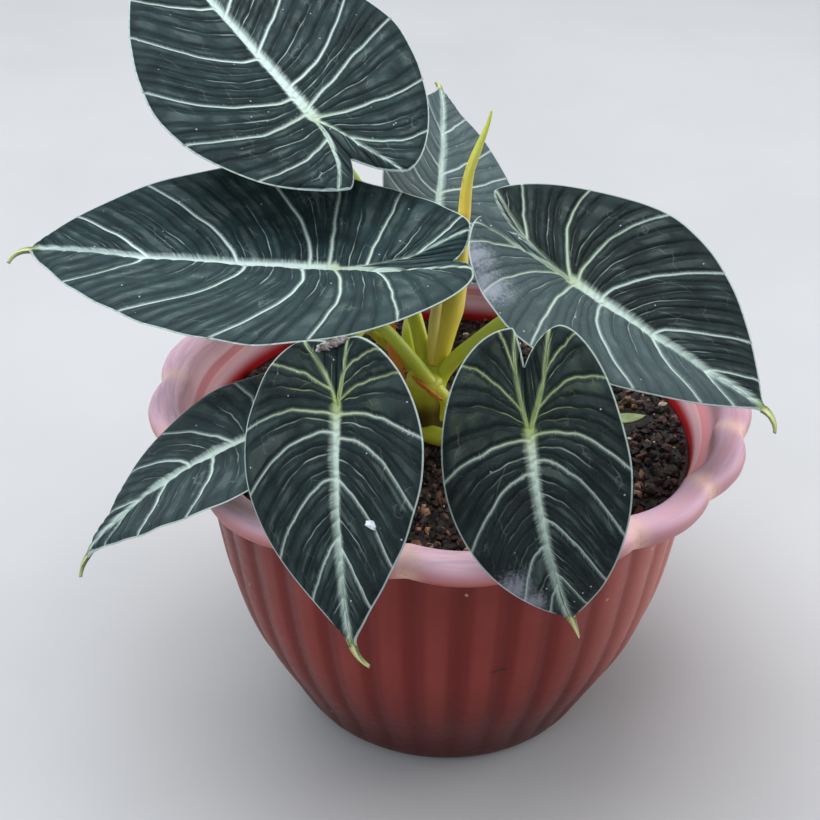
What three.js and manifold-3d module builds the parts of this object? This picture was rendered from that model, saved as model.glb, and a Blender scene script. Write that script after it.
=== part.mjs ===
// A potted alocasia: a bowl-shaped planter with a rolled, scalloped rim, filled with potting soil,
// and a plant of seven arrow-shaped leaves on stalks that all rise from one crown.
//
// Millimetres, +Z up. The origin is the centre of the pot's flat underside, +X is the right of the
// photograph and -Y is the side that faces the viewer.
import * as THREE from "three";
import { mergeVertices } from "three/addons/utils/BufferGeometryUtils.js";
import ManifoldModule from "manifold-3d";

// ---------------------------------------------------------------- pot

const POT = {
  flutes: 34, // convex flutes around the body
  scallops: 17, // one scallop to every two flutes
  fluteDepth: 1.3,
  scallopDepth: 3.2,
  firstValley: -13.6, // direction of one valley, in degrees from +X
  segmentsPerScallop: 8,
  soilLine: 15, // entry of POT_SECTION where the soil meets the wall
  floor: 3,
  drainHoles: 5,
  drainRadius: 4.5,
  drainRing: 31,
};

// Section of the pot from the axis of its underside, up the outside, over the roll and down inside:
// [radius, height, share of the flute relief, share of the scallop relief].
const POT_SECTION = [
  [49.4, 0, 0, 0], [51.6, 1.6, 0.1, 0], [60.6, 18, 0.7, 0], [69.6, 36, 1, 0],
  [76.2, 57, 1, 0], [80.8, 84, 1, 0], [84.4, 105.5, 0.9, 0], [90.5, 109.4, 0.1, 0.6],
  [97.6, 111.2, 0, 1], [100, 115.4, 0, 1], [98.2, 119, 0, 1], [94.2, 120, 0, 1],
  [90.2, 118.8, 0, 0.8], [87.0, 111.4, 0, 0.2], [83.8, 109.4, 0, 0], [81.2, 102, 0, 0],
  [77.6, 72, 0, 0], [67.4, 36, 0, 0], [50.0, 3, 0, 0],
];

// ---------------------------------------------------------------- soil

const SOIL = {
  edge: 102, // height where it meets the wall
  aroundCrown: 100,
  clearance: 0.4, // to the pot's wall
  lump: 1.5, // height of the crumbs
  segments: 72,
  rings: 7,
  restAt: [61, 12], // smooth spot that the small fallen leaf lies on
  restRadius: 9,
};

// ---------------------------------------------------------------- crown and stalks

const GAP = 0.3; // between a piece and what carries it
const CROWN = {
  centre: [-7.6, -1.0],
  bottom: 90,
  top: 126,
  radii: [5.2, 6.0, 6.1, 5.7, 5.8],
};
const SHEATH = {
  path: [[-7, -1, 110], [-5.8, 0, 122], [-2.6, 3, 139.5], [-0.2, 6, 149], [1.5, 9, 161], [2.4, 11, 170]],
  radii: [3.8, 2.8, 4.0, 4.7, 3.8, 2.3],
};
const NEW_LEAF = {
  path: [[2.46, 11.12, 170.4], [3.2, 12.4, 178], [3.6, 13.2, 185], [4.6, 14, 191.5], [7.4, 16, 199.3],
    [9.9, 17.5, 205.8], [10.9, 18.2, 210]],
  radii: [2.2, 2.1, 1.9, 1.6, 1.4, 0.9, 0.35],
};
const DRY_SHEATH = {
  path: [[-14.0, -0.6, 113], [-16.6, -1, 124], [-19.4, -0.6, 135], [-19.4, 1.4, 144]],
  radii: [0.7, 1.5, 1.9, 0.8],
  flatten: 0.45,
};
const STALK = {
  base: 2.7, // radii
  tip: 1.7,
  upright: 5, // stretch just under the blade that stands square to it
  sides: 8,
  stepsPerPoint: 3,
};

// ---------------------------------------------------------------- leaves

const BLADE = {
  thickness: 0.9,
  midribDepth: 1.4, // how far the midrib stands below the blade at the junction
  ribDepth: 0.5, // the same for the side veins
  quilt: 0.9, // how far the blade swells between two veins
  wave: 0.5, // wave of the margin
  waveStep: 2.3, // turn of the wave from one row to the next, in radians
  veinBow: 0.28, // how far a side vein bows back, as a share of its length
  tail: 9, // length of the drip tip
  tailHalfWidth: 1.3,
  tailBend: 0.5, // in radians over its length
  columns: 5,
};

// One entry per leaf. `at` is the junction of stalk and blade. The other lengths are shares of
// `length`, which runs from the junction to the tip, and the angles are in degrees. `left` and
// `right` are the halves as seen from above with the tip ahead. A vein is [where it leaves the
// midrib, where it meets the margin]: the margin runs 0 to 1 around the inside of the lobe, 1 to 2
// around its outside and 2 to 3 along the front. `ribs` are the veins that fan out of the junction.
const LEAVES = [
  {
    name: "blade_top", at: [-45.9, 32.4, 200.6], heading: 132.4, pitch: 24.3, roll: -1.6,
    length: 101.8, sinus: 0.2, widest: 0.17, taper: [1.82, 1.11], gape: 0.62, droop: -1,
    left: { width: 0.467, lobe: 0.316, inset: 0.1, corner: 1.14, lobeDroop: 15, fold: 9, curl: -20 },
    right: { width: 0.446, lobe: 0.339, inset: 0.12, corner: 1.2, lobeDroop: 10, fold: 9, curl: 17 },
    ribs: [0.95, 1.45], veins: [[0.03, 1.93], [0.12, 2.21], [0.31, 2.47], [0.53, 2.66], [0.75, 2.86]],
    stalk: [[-8, 2, 108], [-8.5, 3, 125], [-12.5, 10, 141.5], [-23, 29, 161], [-36, 40, 180]],
  },
  {
    name: "blade_left", at: [-37.5, -8.9, 167.5], heading: 177.5, pitch: 0.3, roll: -0.2,
    length: 96.2, sinus: 0.39, widest: 0.22, taper: [2.02, 0.74], gape: 0.26, droop: -3,
    left: { width: 0.461, lobe: 0.46, inset: 0.14, corner: 1.23, lobeDroop: 33, fold: 9, curl: -25 },
    right: { width: 0.46, lobe: 0.454, inset: 0.15, corner: 1.25, lobeDroop: 40, fold: 13, curl: 16 },
    ribs: [0.92, 1.5], veins: [[0.02, 1.77], [0.1, 2.15], [0.31, 2.56], [0.62, 2.83]],
    stalk: [[-3.5, -2.5, 110], [-1.8, -5.2, 117], [-7.2, -6.8, 125.6], [-12.9, -8, 134.3], [-23.3, -9, 147.6]],
  },
  {
    name: "blade_back", at: [-4.6, 84.6, 142], heading: 84.8, pitch: 24.7, roll: 31.2,
    length: 73.2, sinus: 0.28, widest: 0.06, taper: [1.68, 1.15], gape: 0.25, droop: 16,
    left: { width: 0.436, lobe: 0.374, inset: 0.17, corner: 1.01, lobeDroop: 10, fold: 15, curl: 17 },
    right: { width: 0.446, lobe: 0.377, inset: 0.18, corner: 1, lobeDroop: 9, fold: 11, curl: 4 },
    ribs: [0.95, 1.5], veins: [[0.03, 1.95], [0.14, 2.33], [0.3, 2.54], [0.585, 2.77]],
    stalk: [[-8, 3, 108], [-11, 6, 121], [-14, 13, 131], [-11, 32, 134], [-6, 58, 127], [-3, 74, 130]],
  },
  {
    name: "blade_right", at: [36.3, -13.4, 166.9], heading: -40.6, pitch: -15.3, roll: 5.9,
    length: 73.6, sinus: 0.15, widest: 0.18, taper: [1.96, 1.01], gape: 0.06, droop: -4,
    left: { width: 0.487, lobe: 0.542, inset: 0.08, corner: 1.18, lobeDroop: 34, fold: 13, curl: 34 },
    right: { width: 0.464, lobe: 0.48, inset: 0.08, corner: 1.09, lobeDroop: 38, fold: 8, curl: -11 },
    ribs: [1.12, 1.56], veins: [[0.02, 1.97], [0.16, 2.44], [0.43, 2.75], [0.68, 2.89]],
    stalk: [[-5, -1, 112], [-3.5, -2, 123.5], [0.5, -3.5, 131.5], [7.5, -6, 140.2], [16.5, -9, 150.2],
      [27.1, -11, 158.6]],
  },
  {
    name: "blade_front_left", at: [-33.5, -85.5, 164], heading: -90.7, pitch: -51.6, roll: 30.9,
    length: 66.7, sinus: 0.27, widest: 0.19, taper: [1.94, 1.15], gape: 0.25, droop: 19,
    left: { width: 0.442, lobe: 0.292, inset: 0.1, corner: 1.21, lobeDroop: 13, fold: 11, curl: -12 },
    right: { width: 0.447, lobe: 0.289, inset: 0.15, corner: 1.04, lobeDroop: 11, fold: 8, curl: -5 },
    ribs: [0.98, 1.38], veins: [[0.03, 1.88], [0.12, 2.26], [0.3, 2.56], [0.56, 2.78]],
    stalk: [[-8.5, 1, 110], [-10.5, 3.8, 121], [-15.5, 5.2, 128], [-21.5, 4.6, 134], [-27, -6, 145.5],
      [-31, -34, 157], [-32.5, -62, 161]],
  },
  {
    name: "blade_front_right", at: [19.9, -89, 159.5], heading: -80.4, pitch: -53.3, roll: 26.7,
    length: 62.1, sinus: 0.29, widest: 0.18, taper: [1.86, 0.96], gape: 0.41, droop: 54,
    left: { width: 0.446, lobe: 0.455, inset: 0.18, corner: 1.17, lobeDroop: -2, fold: 7, curl: -5 },
    right: { width: 0.409, lobe: 0.469, inset: 0.04, corner: 0.98, lobeDroop: -2, fold: 16, curl: 7 },
    ribs: [1.1, 1.5], veins: [[0.03, 2.02], [0.16, 2.39], [0.43, 2.71], [0.68, 2.87]],
    stalk: [[-11, -4, 105.5], [-6.2, -8.5, 106], [3, -17, 109], [12, -42, 127], [17, -68, 146]],
    stalkBase: 3.2,
  },
  {
    name: "blade_low_left", at: [-57.5, -55, 135.6], heading: 191, pitch: -18.5, roll: -2.4,
    length: 69.2, sinus: 0.28, widest: 0.12, taper: [1.88, 1.21], gape: 0.25, droop: 34,
    left: { width: 0.44, lobe: 0.3, inset: 0.18, corner: 1, lobeDroop: 9, fold: 3, curl: 10 },
    right: { width: 0.446, lobe: 0.38, inset: 0.18, corner: 1, lobeDroop: 9, fold: 2, curl: 0 },
    ribs: [0.95, 1.5], veins: [[0.03, 1.95], [0.14, 2.35], [0.37, 2.62], [0.6, 2.8]],
    stalk: [[-10, -3, 107], [-22, -20, 117], [-40, -43, 128]],
  },
];

const FALLEN_LEAF = { length: 15, halfWidth: 3, thickness: 0.8, turn: 12 };

// ---------------------------------------------------------------- materials

const FINISH = {
  plastic: () => new THREE.MeshStandardMaterial({ color: 0xa3605a, roughness: 0.42, metalness: 0 }),
  soil: () => new THREE.MeshStandardMaterial({ color: 0x2b211d, roughness: 0.95, metalness: 0 }),
  stalk: () => new THREE.MeshStandardMaterial({ color: 0x9fae4c, roughness: 0.5, metalness: 0 }),
  blade: () => new THREE.MeshStandardMaterial({ color: 0x24332d, roughness: 0.6, metalness: 0 }),
  newLeaf: () => new THREE.MeshStandardMaterial({ color: 0xa8a83a, roughness: 0.5, metalness: 0 }),
  dry: () => new THREE.MeshStandardMaterial({ color: 0xb06f38, roughness: 0.8, metalness: 0 }),
  pale: () => new THREE.MeshStandardMaterial({ color: 0xa9b98a, roughness: 0.7, metalness: 0 }),
};

// ---------------------------------------------------------------- closed meshes

const rad = (degrees) => (degrees * Math.PI) / 180;
const mix = (a, b, t) => a + (b - a) * t;
const vec = (p) => new THREE.Vector3(p[0], p[1], p[2]);

/** Collects points and faces, sharing equal points and leaving out faces that have no area. */
class ClosedMesh {
  constructor() {
    this.points = [];
    this.faces = [];
    this.known = new Map();
  }

  point(p) {
    const key = [p.x, p.y, p.z].map((v) => Math.round(v * 1000)).join(",");
    if (!this.known.has(key)) {
      this.known.set(key, this.points.length);
      this.points.push(p);
    }
    return this.known.get(key);
  }

  triangle(a, b, c) {
    if (a !== b && b !== c && c !== a) this.faces.push(a, b, c);
  }

  quad(a, b, c, d) {
    this.triangle(a, b, c);
    this.triangle(a, c, d);
  }

  geometry() {
    const geometry = new THREE.BufferGeometry();
    const flat = this.points.flatMap((p) => [p.x, p.y, p.z]);
    geometry.setAttribute("position", new THREE.Float32BufferAttribute(flat, 3));
    geometry.setIndex(this.faces);
    geometry.computeVertexNormals();
    return geometry;
  }
}

/** A tapered, round or flattened stalk with closed ends, along a smooth curve through the path. */
function stalkGeometry(path, radii, flatten = 1, sides = STALK.sides) {
  const points = path.map((p) => (p.isVector3 ? p : vec(p)));
  const curve = new THREE.CatmullRomCurve3(points, false, "centripetal");
  const steps = (path.length - 1) * STALK.stepsPerPoint;
  const frames = curve.computeFrenetFrames(steps, false);
  const mesh = new ClosedMesh();
  const rings = [];
  for (let i = 0; i <= steps; i++) {
    const share = (i / steps) * (radii.length - 1);
    const low = Math.min(Math.floor(share), radii.length - 2);
    const radius = mix(radii[low], radii[low + 1], share - low);
    const centre = curve.getPointAt(i / steps);
    const ring = [];
    for (let j = 0; j < sides; j++) {
      const angle = (2 * Math.PI * j) / sides;
      ring.push(mesh.point(centre.clone()
        .addScaledVector(frames.normals[i], radius * Math.cos(angle))
        .addScaledVector(frames.binormals[i], radius * flatten * Math.sin(angle))));
    }
    rings.push(ring);
  }
  for (let i = 0; i < steps; i++) {
    for (let j = 0; j < sides; j++) {
      const k = (j + 1) % sides;
      mesh.quad(rings[i][j], rings[i][k], rings[i + 1][k], rings[i + 1][j]);
    }
  }
  const start = mesh.point(curve.getPointAt(0));
  const end = mesh.point(curve.getPointAt(1));
  for (let j = 0; j < sides; j++) {
    const k = (j + 1) % sides;
    mesh.triangle(start, rings[0][k], rings[0][j]);
    mesh.triangle(end, rings[steps][j], rings[steps][k]);
  }
  return mesh.geometry();
}

// ---------------------------------------------------------------- joining and cutting

const solidKit = await ManifoldModule();
solidKit.setup();

function toSolid(geometry) {
  const plain = geometry.clone();
  plain.deleteAttribute("normal");
  plain.deleteAttribute("uv");
  const merged = mergeVertices(plain, 1e-4);
  const mesh = new solidKit.Mesh({
    numProp: 3,
    vertProperties: new Float32Array(merged.attributes.position.array),
    triVerts: new Uint32Array(merged.index.array),
  });
  return new solidKit.Manifold(mesh);
}

function toGeometry(solid) {
  const mesh = solid.getMesh();
  const geometry = new THREE.BufferGeometry();
  geometry.setAttribute("position", new THREE.BufferAttribute(new Float32Array(mesh.vertProperties), 3));
  geometry.setIndex(new THREE.BufferAttribute(new Uint32Array(mesh.triVerts), 1));
  geometry.computeVertexNormals();
  return geometry;
}

// ---------------------------------------------------------------- pot

/** Height of a rounded ridge between two valleys: 0 in the valley, 1 on top. */
const ridge = (angle, count, sharpness) => Math.abs(Math.sin((angle * count) / 2)) ** sharpness;

function potGeometry() {
  const mesh = new ClosedMesh();
  const segments = POT.scallops * POT.segmentsPerScallop;
  const rings = POT_SECTION.map(([radius, height, flute, scallop]) => {
    const ring = [];
    for (let j = 0; j < segments; j++) {
      const turn = (2 * Math.PI * j) / segments;
      const angle = turn + rad(POT.firstValley);
      const r = radius
        - flute * POT.fluteDepth * (1 - ridge(turn, POT.flutes, 0.7))
        - scallop * POT.scallopDepth * (1 - ridge(turn, POT.scallops, 0.8));
      ring.push(mesh.point(new THREE.Vector3(r * Math.cos(angle), r * Math.sin(angle), height)));
    }
    return ring;
  });
  const underside = mesh.point(new THREE.Vector3(0, 0, 0));
  const inside = mesh.point(new THREE.Vector3(0, 0, POT.floor));
  for (let j = 0; j < segments; j++) {
    const k = (j + 1) % segments;
    mesh.triangle(underside, rings[0][k], rings[0][j]);
    mesh.triangle(inside, rings[rings.length - 1][j], rings[rings.length - 1][k]);
    for (let i = 0; i + 1 < rings.length; i++) {
      mesh.quad(rings[i][j], rings[i][k], rings[i + 1][k], rings[i + 1][j]);
    }
  }
  let pot = toSolid(mesh.geometry());
  for (let i = 0; i < POT.drainHoles; i++) {
    const angle = (2 * Math.PI * (i + 0.5)) / POT.drainHoles;
    const hole = new THREE.CylinderGeometry(POT.drainRadius, POT.drainRadius, 4 * POT.floor, 16);
    hole.rotateX(Math.PI / 2);
    hole.translate(POT.drainRing * Math.cos(angle), POT.drainRing * Math.sin(angle), 0);
    pot = pot.subtract(toSolid(hole));
  }
  return toGeometry(pot);
}

// ---------------------------------------------------------------- soil

/** Crumbs of the soil surface, as a sum of crossing waves that doesn't repeat across the pot. */
function crumbs(x, y) {
  const large = Math.sin(0.61 * x + 1.9 * Math.sin(0.23 * y)) * Math.cos(0.57 * y - 1.3 * Math.sin(0.31 * x));
  const small = Math.sin(1.13 * x + 0.77 * y + 2) * Math.sin(0.91 * y - 0.83 * x);
  return (large + small) / 2;
}

function soilHeight(x, y) {
  const fromCrown = Math.hypot(x - CROWN.centre[0], y - CROWN.centre[1]);
  const level = mix(SOIL.aroundCrown, SOIL.edge - SOIL.lump, THREE.MathUtils.smoothstep(fromCrown, 14, 34));
  const fromWall = POT_SECTION[POT.soilLine][0] - Math.hypot(x, y);
  const loose = THREE.MathUtils.smoothstep(fromCrown, 10, 22) * THREE.MathUtils.smoothstep(fromWall, 1, 8);
  const fromRest = Math.hypot(x - SOIL.restAt[0], y - SOIL.restAt[1]);
  const rough = loose * THREE.MathUtils.smoothstep(fromRest, SOIL.restRadius, SOIL.restRadius + 6);
  return level + SOIL.lump * rough * crumbs(x, y);
}

function soilGeometry() {
  const mesh = new ClosedMesh();
  const n = SOIL.segments;
  const hole = { radius: Math.max(...CROWN.radii) + GAP + 0.1, bottom: CROWN.bottom - GAP };
  const rings = [];
  const addRing = (cx, cy, radius, height) => {
    const ring = [];
    for (let j = 0; j < n; j++) {
      const angle = (2 * Math.PI * j) / n;
      const x = cx + radius * Math.cos(angle);
      const y = cy + radius * Math.sin(angle);
      ring.push(mesh.point(new THREE.Vector3(x, y, height ?? soilHeight(x, y))));
    }
    rings.push(ring);
  };
  const wall = POT_SECTION.slice(POT.soilLine).reverse();
  wall.forEach(([radius, height], i) => {
    const z = i === 0 ? height + GAP : height;
    if (i < wall.length - 1) addRing(0, 0, radius - SOIL.clearance, z);
  });
  const surface = wall[wall.length - 1][0] - SOIL.clearance;
  for (let i = 0; i <= SOIL.rings; i++) {
    const share = (i / SOIL.rings) ** 0.9;
    addRing(CROWN.centre[0] * share, CROWN.centre[1] * share, mix(surface, hole.radius, share));
  }
  addRing(CROWN.centre[0], CROWN.centre[1], hole.radius, hole.bottom);
  for (let i = 0; i + 1 < rings.length; i++) {
    for (let j = 0; j < n; j++) {
      const k = (j + 1) % n;
      mesh.quad(rings[i][j], rings[i][k], rings[i + 1][k], rings[i + 1][j]);
    }
  }
  const under = mesh.point(new THREE.Vector3(0, 0, POT.floor + GAP));
  const pit = mesh.point(new THREE.Vector3(CROWN.centre[0], CROWN.centre[1], hole.bottom));
  const last = rings.length - 1;
  for (let j = 0; j < n; j++) {
    const k = (j + 1) % n;
    mesh.triangle(under, rings[0][k], rings[0][j]);
    mesh.triangle(pit, rings[last][j], rings[last][k]);
  }
  return mesh.geometry();
}

// ---------------------------------------------------------------- leaves

/** Places points of one leaf: from its flat outline, along and across the midrib, into the pot's frame. */
class LeafForm {
  constructor(leaf) {
    this.leaf = leaf;
    const heading = rad(leaf.heading);
    const pitch = rad(leaf.pitch);
    const roll = rad(leaf.roll);
    this.ahead = new THREE.Vector3(
      Math.cos(heading) * Math.cos(pitch), Math.sin(heading) * Math.cos(pitch), Math.sin(pitch));
    const level = new THREE.Vector3(-Math.sin(heading), Math.cos(heading), 0);
    const over = this.ahead.clone().cross(level);
    this.leftward = level.clone().multiplyScalar(Math.cos(roll)).addScaledVector(over, Math.sin(roll));
    this.upward = over.clone().multiplyScalar(Math.cos(roll)).addScaledVector(level, -Math.sin(roll));
    this.junction = vec(leaf.at);
  }

  half(side) {
    return side > 0 ? this.leaf.left : this.leaf.right;
  }

  /** Point of the flat outline, as [along the midrib, away from it]. */
  margin(side, along) {
    const { length, sinus, widest, taper, gape } = this.leaf;
    const { width, lobe, inset, corner } = this.half(side);
    const reach = lobe * length;
    const wide = width * length;
    const narrow = inset * length;
    const notch = sinus * length;
    const broad = widest * length;
    if (along <= 1) {
      const t = (along * Math.PI) / 2;
      return [-notch - (reach - notch) * Math.sin(t),
        narrow * ((1 - gape) * (1 - Math.cos(t)) + gape * Math.sin(t))];
    }
    if (along <= 2) {
      const t = ((along - 1) * Math.PI) / 2;
      return [-reach + (reach + broad) * (1 - Math.max(Math.cos(t), 0) ** corner),
        narrow + (wide - narrow) * Math.sin(t) ** corner];
    }
    const t = Math.min(along - 2, 1);
    return [mix(broad, length, t), Math.max(wide * (1 - t ** taper[0]) ** taper[1], BLADE.tailHalfWidth)];
  }

  /** Position and slope of the midrib at a distance from the junction. */
  midrib(x, lobeBend) {
    const { length, droop } = this.leaf;
    const bend = x >= 0 ? rad(droop) / length : -lobeBend / length;
    const arc = (distance, rate) => (Math.abs(rate) < 1e-9
      ? [distance, 0] : [Math.sin(rate * distance) / rate, -(1 - Math.cos(rate * distance)) / rate]);
    const blade = Math.min(Math.abs(x), length);
    const sign = Math.sign(x) || 1;
    const [along, down] = arc(blade, bend);
    const place = { x: sign * along, z: down, slope: bend * blade * sign };
    const tail = x - length;
    if (tail > 0) {
      const rate = BLADE.tailBend / BLADE.tail;
      const [forth, fall] = arc(tail, rate);
      place.x += forth * Math.cos(place.slope) + fall * Math.sin(place.slope);
      place.z += fall * Math.cos(place.slope) - forth * Math.sin(place.slope);
      place.slope += rate * tail;
    }
    return place;
  }

  /** A point x along the midrib, y away from it on one side, and h above the blade's middle. */
  point(side, x, y, h = 0) {
    const { left, right, length } = this.leaf;
    const half = this.half(side);
    const wide = half.width * length;
    const even = (left.lobeDroop + right.lobeDroop) / 2;
    const lobeBend = rad(mix(even, half.lobeDroop, Math.min(y / (0.4 * wide), 1)));
    const rib = this.midrib(x, lobeBend);
    const fold = rad(half.fold) + (rad(half.curl) * 0.5 * y) / wide;
    const lean = fold * Math.min(y / (0.15 * wide), 1);
    const out = y * Math.cos(fold) - h * Math.sin(lean);
    const rise = y * Math.sin(fold) + h * Math.cos(lean);
    const forward = rib.x + rise * Math.sin(rib.slope);
    const up = rib.z + rise * Math.cos(rib.slope);
    return this.junction.clone()
      .addScaledVector(this.ahead, forward)
      .addScaledVector(this.leftward, out * side)
      .addScaledVector(this.upward, up);
  }
}

/** Rows of the blade from the back of the midrib round to the tip: the veins, and rows between them. */
function bladeRows(leaf) {
  const veins = [
    { from: 0, to: 0 },
    ...leaf.ribs.map((to) => ({ from: 0, to })),
    ...leaf.veins.map(([from, to]) => ({ from, to })),
    { from: 0.9, to: 2.95 },
  ];
  const rows = [];
  veins.forEach((vein, i) => {
    rows.push({ ...vein, vein: i < veins.length - 1 ? 1 : 0, swell: 0 });
    const next = veins[i + 1];
    if (!next) return;
    const between = next.to - vein.to > 0.24 && next.from > 0.12 ? 2 : 1;
    for (let k = 1; k <= between; k++) {
      const t = k / (between + 1);
      rows.push({ from: mix(vein.from, next.from, t), to: mix(vein.to, next.to, t), vein: 0, swell: 1 });
    }
  });
  rows[0].back = true;
  rows.push({ tail: 0 }, { tail: 0.5 }, { tail: 1 });
  return rows;
}

/** Flat position of a column of a row: 0 on the midrib, 1 on the margin. */
function flatPoint(form, side, row, share) {
  const { length, sinus } = form.leaf;
  if (row.tail !== undefined) {
    const half = row.tail === 1 ? 0 : BLADE.tailHalfWidth * (1 - 0.35 * row.tail);
    return [length + BLADE.tail * row.tail, half * share];
  }
  if (row.back) return [-sinus * length * share, 0];
  const start = row.from * length;
  const [endX, endY] = form.margin(side, row.to);
  const reach = Math.hypot(endX - start, endY);
  const midX = (start + endX) / 2 - BLADE.veinBow * reach;
  const midY = endY / 2;
  const u = share;
  return [
    (1 - u) ** 2 * start + 2 * u * (1 - u) * midX + u * u * endX,
    2 * u * (1 - u) * midY + u * u * endY,
  ];
}

function bladeGeometry(leaf) {
  const form = new LeafForm(leaf);
  const rows = bladeRows(leaf);
  const mesh = new ClosedMesh();
  const columns = BLADE.columns;
  const faces = {};
  for (const side of [1, -1]) {
    const top = [];
    const bottom = [];
    rows.forEach((row, i) => {
      top.push([]);
      bottom.push([]);
      for (let b = 0; b <= columns; b++) {
        const share = b / columns;
        const [x, y] = flatPoint(form, side, row, share);
        const quilt = row.swell ? BLADE.quilt * Math.sin(Math.PI * share ** 0.8) : 0;
        const atMargin = row.tail === undefined && !row.back ? share ** 3 : 0;
        const wave = BLADE.wave * atMargin * Math.sin(BLADE.waveStep * i + side);
        const rest = Math.max(1 - Math.max(x, 0) / leaf.length, 0);
        const midrib = b === 0 || row.back ? BLADE.midribDepth * rest : 0;
        const rib = row.vein ? BLADE.ribDepth * (1 - share) : 0;
        const h = quilt + wave;
        top[i].push(mesh.point(form.point(side, x, y, h)));
        bottom[i].push(mesh.point(form.point(side, x, y, h - BLADE.thickness - Math.max(midrib, rib))));
      }
    });
    faces[side] = { top, bottom };
    for (let i = 0; i + 1 < rows.length; i++) {
      for (let b = 0; b < columns; b++) {
        const t = [top[i][b], top[i + 1][b], top[i + 1][b + 1], top[i][b + 1]];
        const u = [bottom[i][b], bottom[i + 1][b], bottom[i + 1][b + 1], bottom[i][b + 1]];
        if (side > 0) {
          mesh.quad(...t);
          mesh.triangle(u[0], u[2], u[1]);
          mesh.triangle(u[0], u[3], u[2]);
        } else {
          mesh.triangle(t[0], t[2], t[1]);
          mesh.triangle(t[0], t[3], t[2]);
          mesh.quad(...u);
        }
      }
      const [a, b, c, d] = [top[i][columns], top[i + 1][columns], bottom[i + 1][columns], bottom[i][columns]];
      if (side > 0) mesh.quad(a, b, c, d);
      else mesh.quad(a, d, c, b);
    }
  }
  return mesh.geometry();
}

// ---------------------------------------------------------------- crown, stalks and small pieces

/** Crown, leaf sheath and all the stalks, which grew as one and are one colour. */
function stemsGeometry() {
  const [x, y] = CROWN.centre;
  const count = CROWN.radii.length;
  const crownPath = CROWN.radii.map((_, i) => [x, y, mix(CROWN.bottom, CROWN.top, i / (count - 1))]);
  let stems = toSolid(stalkGeometry(crownPath, CROWN.radii, 1, 16));
  stems = stems.add(toSolid(stalkGeometry(SHEATH.path, SHEATH.radii, 1, 12)));
  for (const leaf of LEAVES) {
    const form = new LeafForm(leaf);
    const seat = BLADE.thickness + BLADE.midribDepth + GAP;
    const path = [
      ...leaf.stalk.map(vec),
      form.point(1, 0, 0, -seat - STALK.upright),
      form.point(1, 0, 0, -seat),
    ];
    const { tip } = STALK;
    const base = leaf.stalkBase ?? STALK.base;
    stems = stems.add(toSolid(stalkGeometry(path, [base, base * 0.9, mix(base, tip, 0.6), tip])));
  }
  return toGeometry(stems);
}

/** The small pale leaf on the soil: a thin oval, pointed at both ends. */
function fallenLeafGeometry() {
  const { length, halfWidth, thickness, turn } = FALLEN_LEAF;
  const shape = new THREE.Shape();
  shape.moveTo(-length / 2, 0);
  shape.quadraticCurveTo(0, 2 * halfWidth, length / 2, 0);
  shape.quadraticCurveTo(0, -2 * halfWidth, -length / 2, 0);
  const geometry = new THREE.ExtrudeGeometry(shape, { depth: thickness, bevelEnabled: false, curveSegments: 8 });
  geometry.rotateZ(rad(turn));
  geometry.translate(SOIL.restAt[0], SOIL.restAt[1], soilHeight(...SOIL.restAt) + GAP);
  return geometry;
}

// ---------------------------------------------------------------- the part

const part = new THREE.Group();

function add(name, geometry, material) {
  const mesh = new THREE.Mesh(geometry, material);
  mesh.name = name;
  part.add(mesh);
}

add("pot", potGeometry(), FINISH.plastic());
add("soil", soilGeometry(), FINISH.soil());
add("stems", stemsGeometry(), FINISH.stalk());
for (const leaf of LEAVES) add(leaf.name, bladeGeometry(leaf), FINISH.blade());
add("new_leaf", stalkGeometry(NEW_LEAF.path, NEW_LEAF.radii), FINISH.newLeaf());
add("dry_sheath", stalkGeometry(DRY_SHEATH.path, DRY_SHEATH.radii, DRY_SHEATH.flatten), FINISH.dry());
add("fallen_leaf", fallenLeafGeometry(), FINISH.pale());

export default part;
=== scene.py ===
"""Looks of a potted alocasia: a bowl-shaped planter with a scalloped rim, potting soil and seven leaves.

Sizes are in millimetres until a mesh is made, in the frame of the part: origin at the centre of the pot's
underside, +Z up, -Y towards the viewer.
"""

import logging
import math
from dataclasses import dataclass, field
from enum import Enum
from types import SimpleNamespace

import bpy
import numpy as np
from mathutils import Matrix, Vector, noise


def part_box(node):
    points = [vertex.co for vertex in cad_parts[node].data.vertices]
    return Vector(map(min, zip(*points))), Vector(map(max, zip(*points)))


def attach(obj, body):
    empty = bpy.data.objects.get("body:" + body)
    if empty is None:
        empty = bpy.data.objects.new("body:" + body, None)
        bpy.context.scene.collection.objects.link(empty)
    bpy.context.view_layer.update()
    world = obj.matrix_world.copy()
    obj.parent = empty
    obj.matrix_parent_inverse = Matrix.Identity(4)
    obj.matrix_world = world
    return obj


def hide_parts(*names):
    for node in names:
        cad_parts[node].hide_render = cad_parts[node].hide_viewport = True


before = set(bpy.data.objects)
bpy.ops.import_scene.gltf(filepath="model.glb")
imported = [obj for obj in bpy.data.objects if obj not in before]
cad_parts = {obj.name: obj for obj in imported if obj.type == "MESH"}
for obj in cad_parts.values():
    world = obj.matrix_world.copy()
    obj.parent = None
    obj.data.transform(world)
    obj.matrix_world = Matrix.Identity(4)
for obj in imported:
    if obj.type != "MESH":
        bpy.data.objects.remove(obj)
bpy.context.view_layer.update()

MM = 0.001
SEED = 7
BODY = "root"
LOG = logging.getLogger("alocasia")

Point = tuple[float, float, float]
Array = np.ndarray
Piece = bpy.types.Object
Material = bpy.types.Material
Socket = bpy.types.NodeSocket


# ---- small helpers


def smooth(value: Array, low: float, high: float) -> Array:
    """Gives 0 below `low`, 1 above `high` and an S-curve between them."""
    t = np.clip((value - low) / (high - low), 0.0, 1.0)
    return t * t * (3.0 - 2.0 * t)


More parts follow.
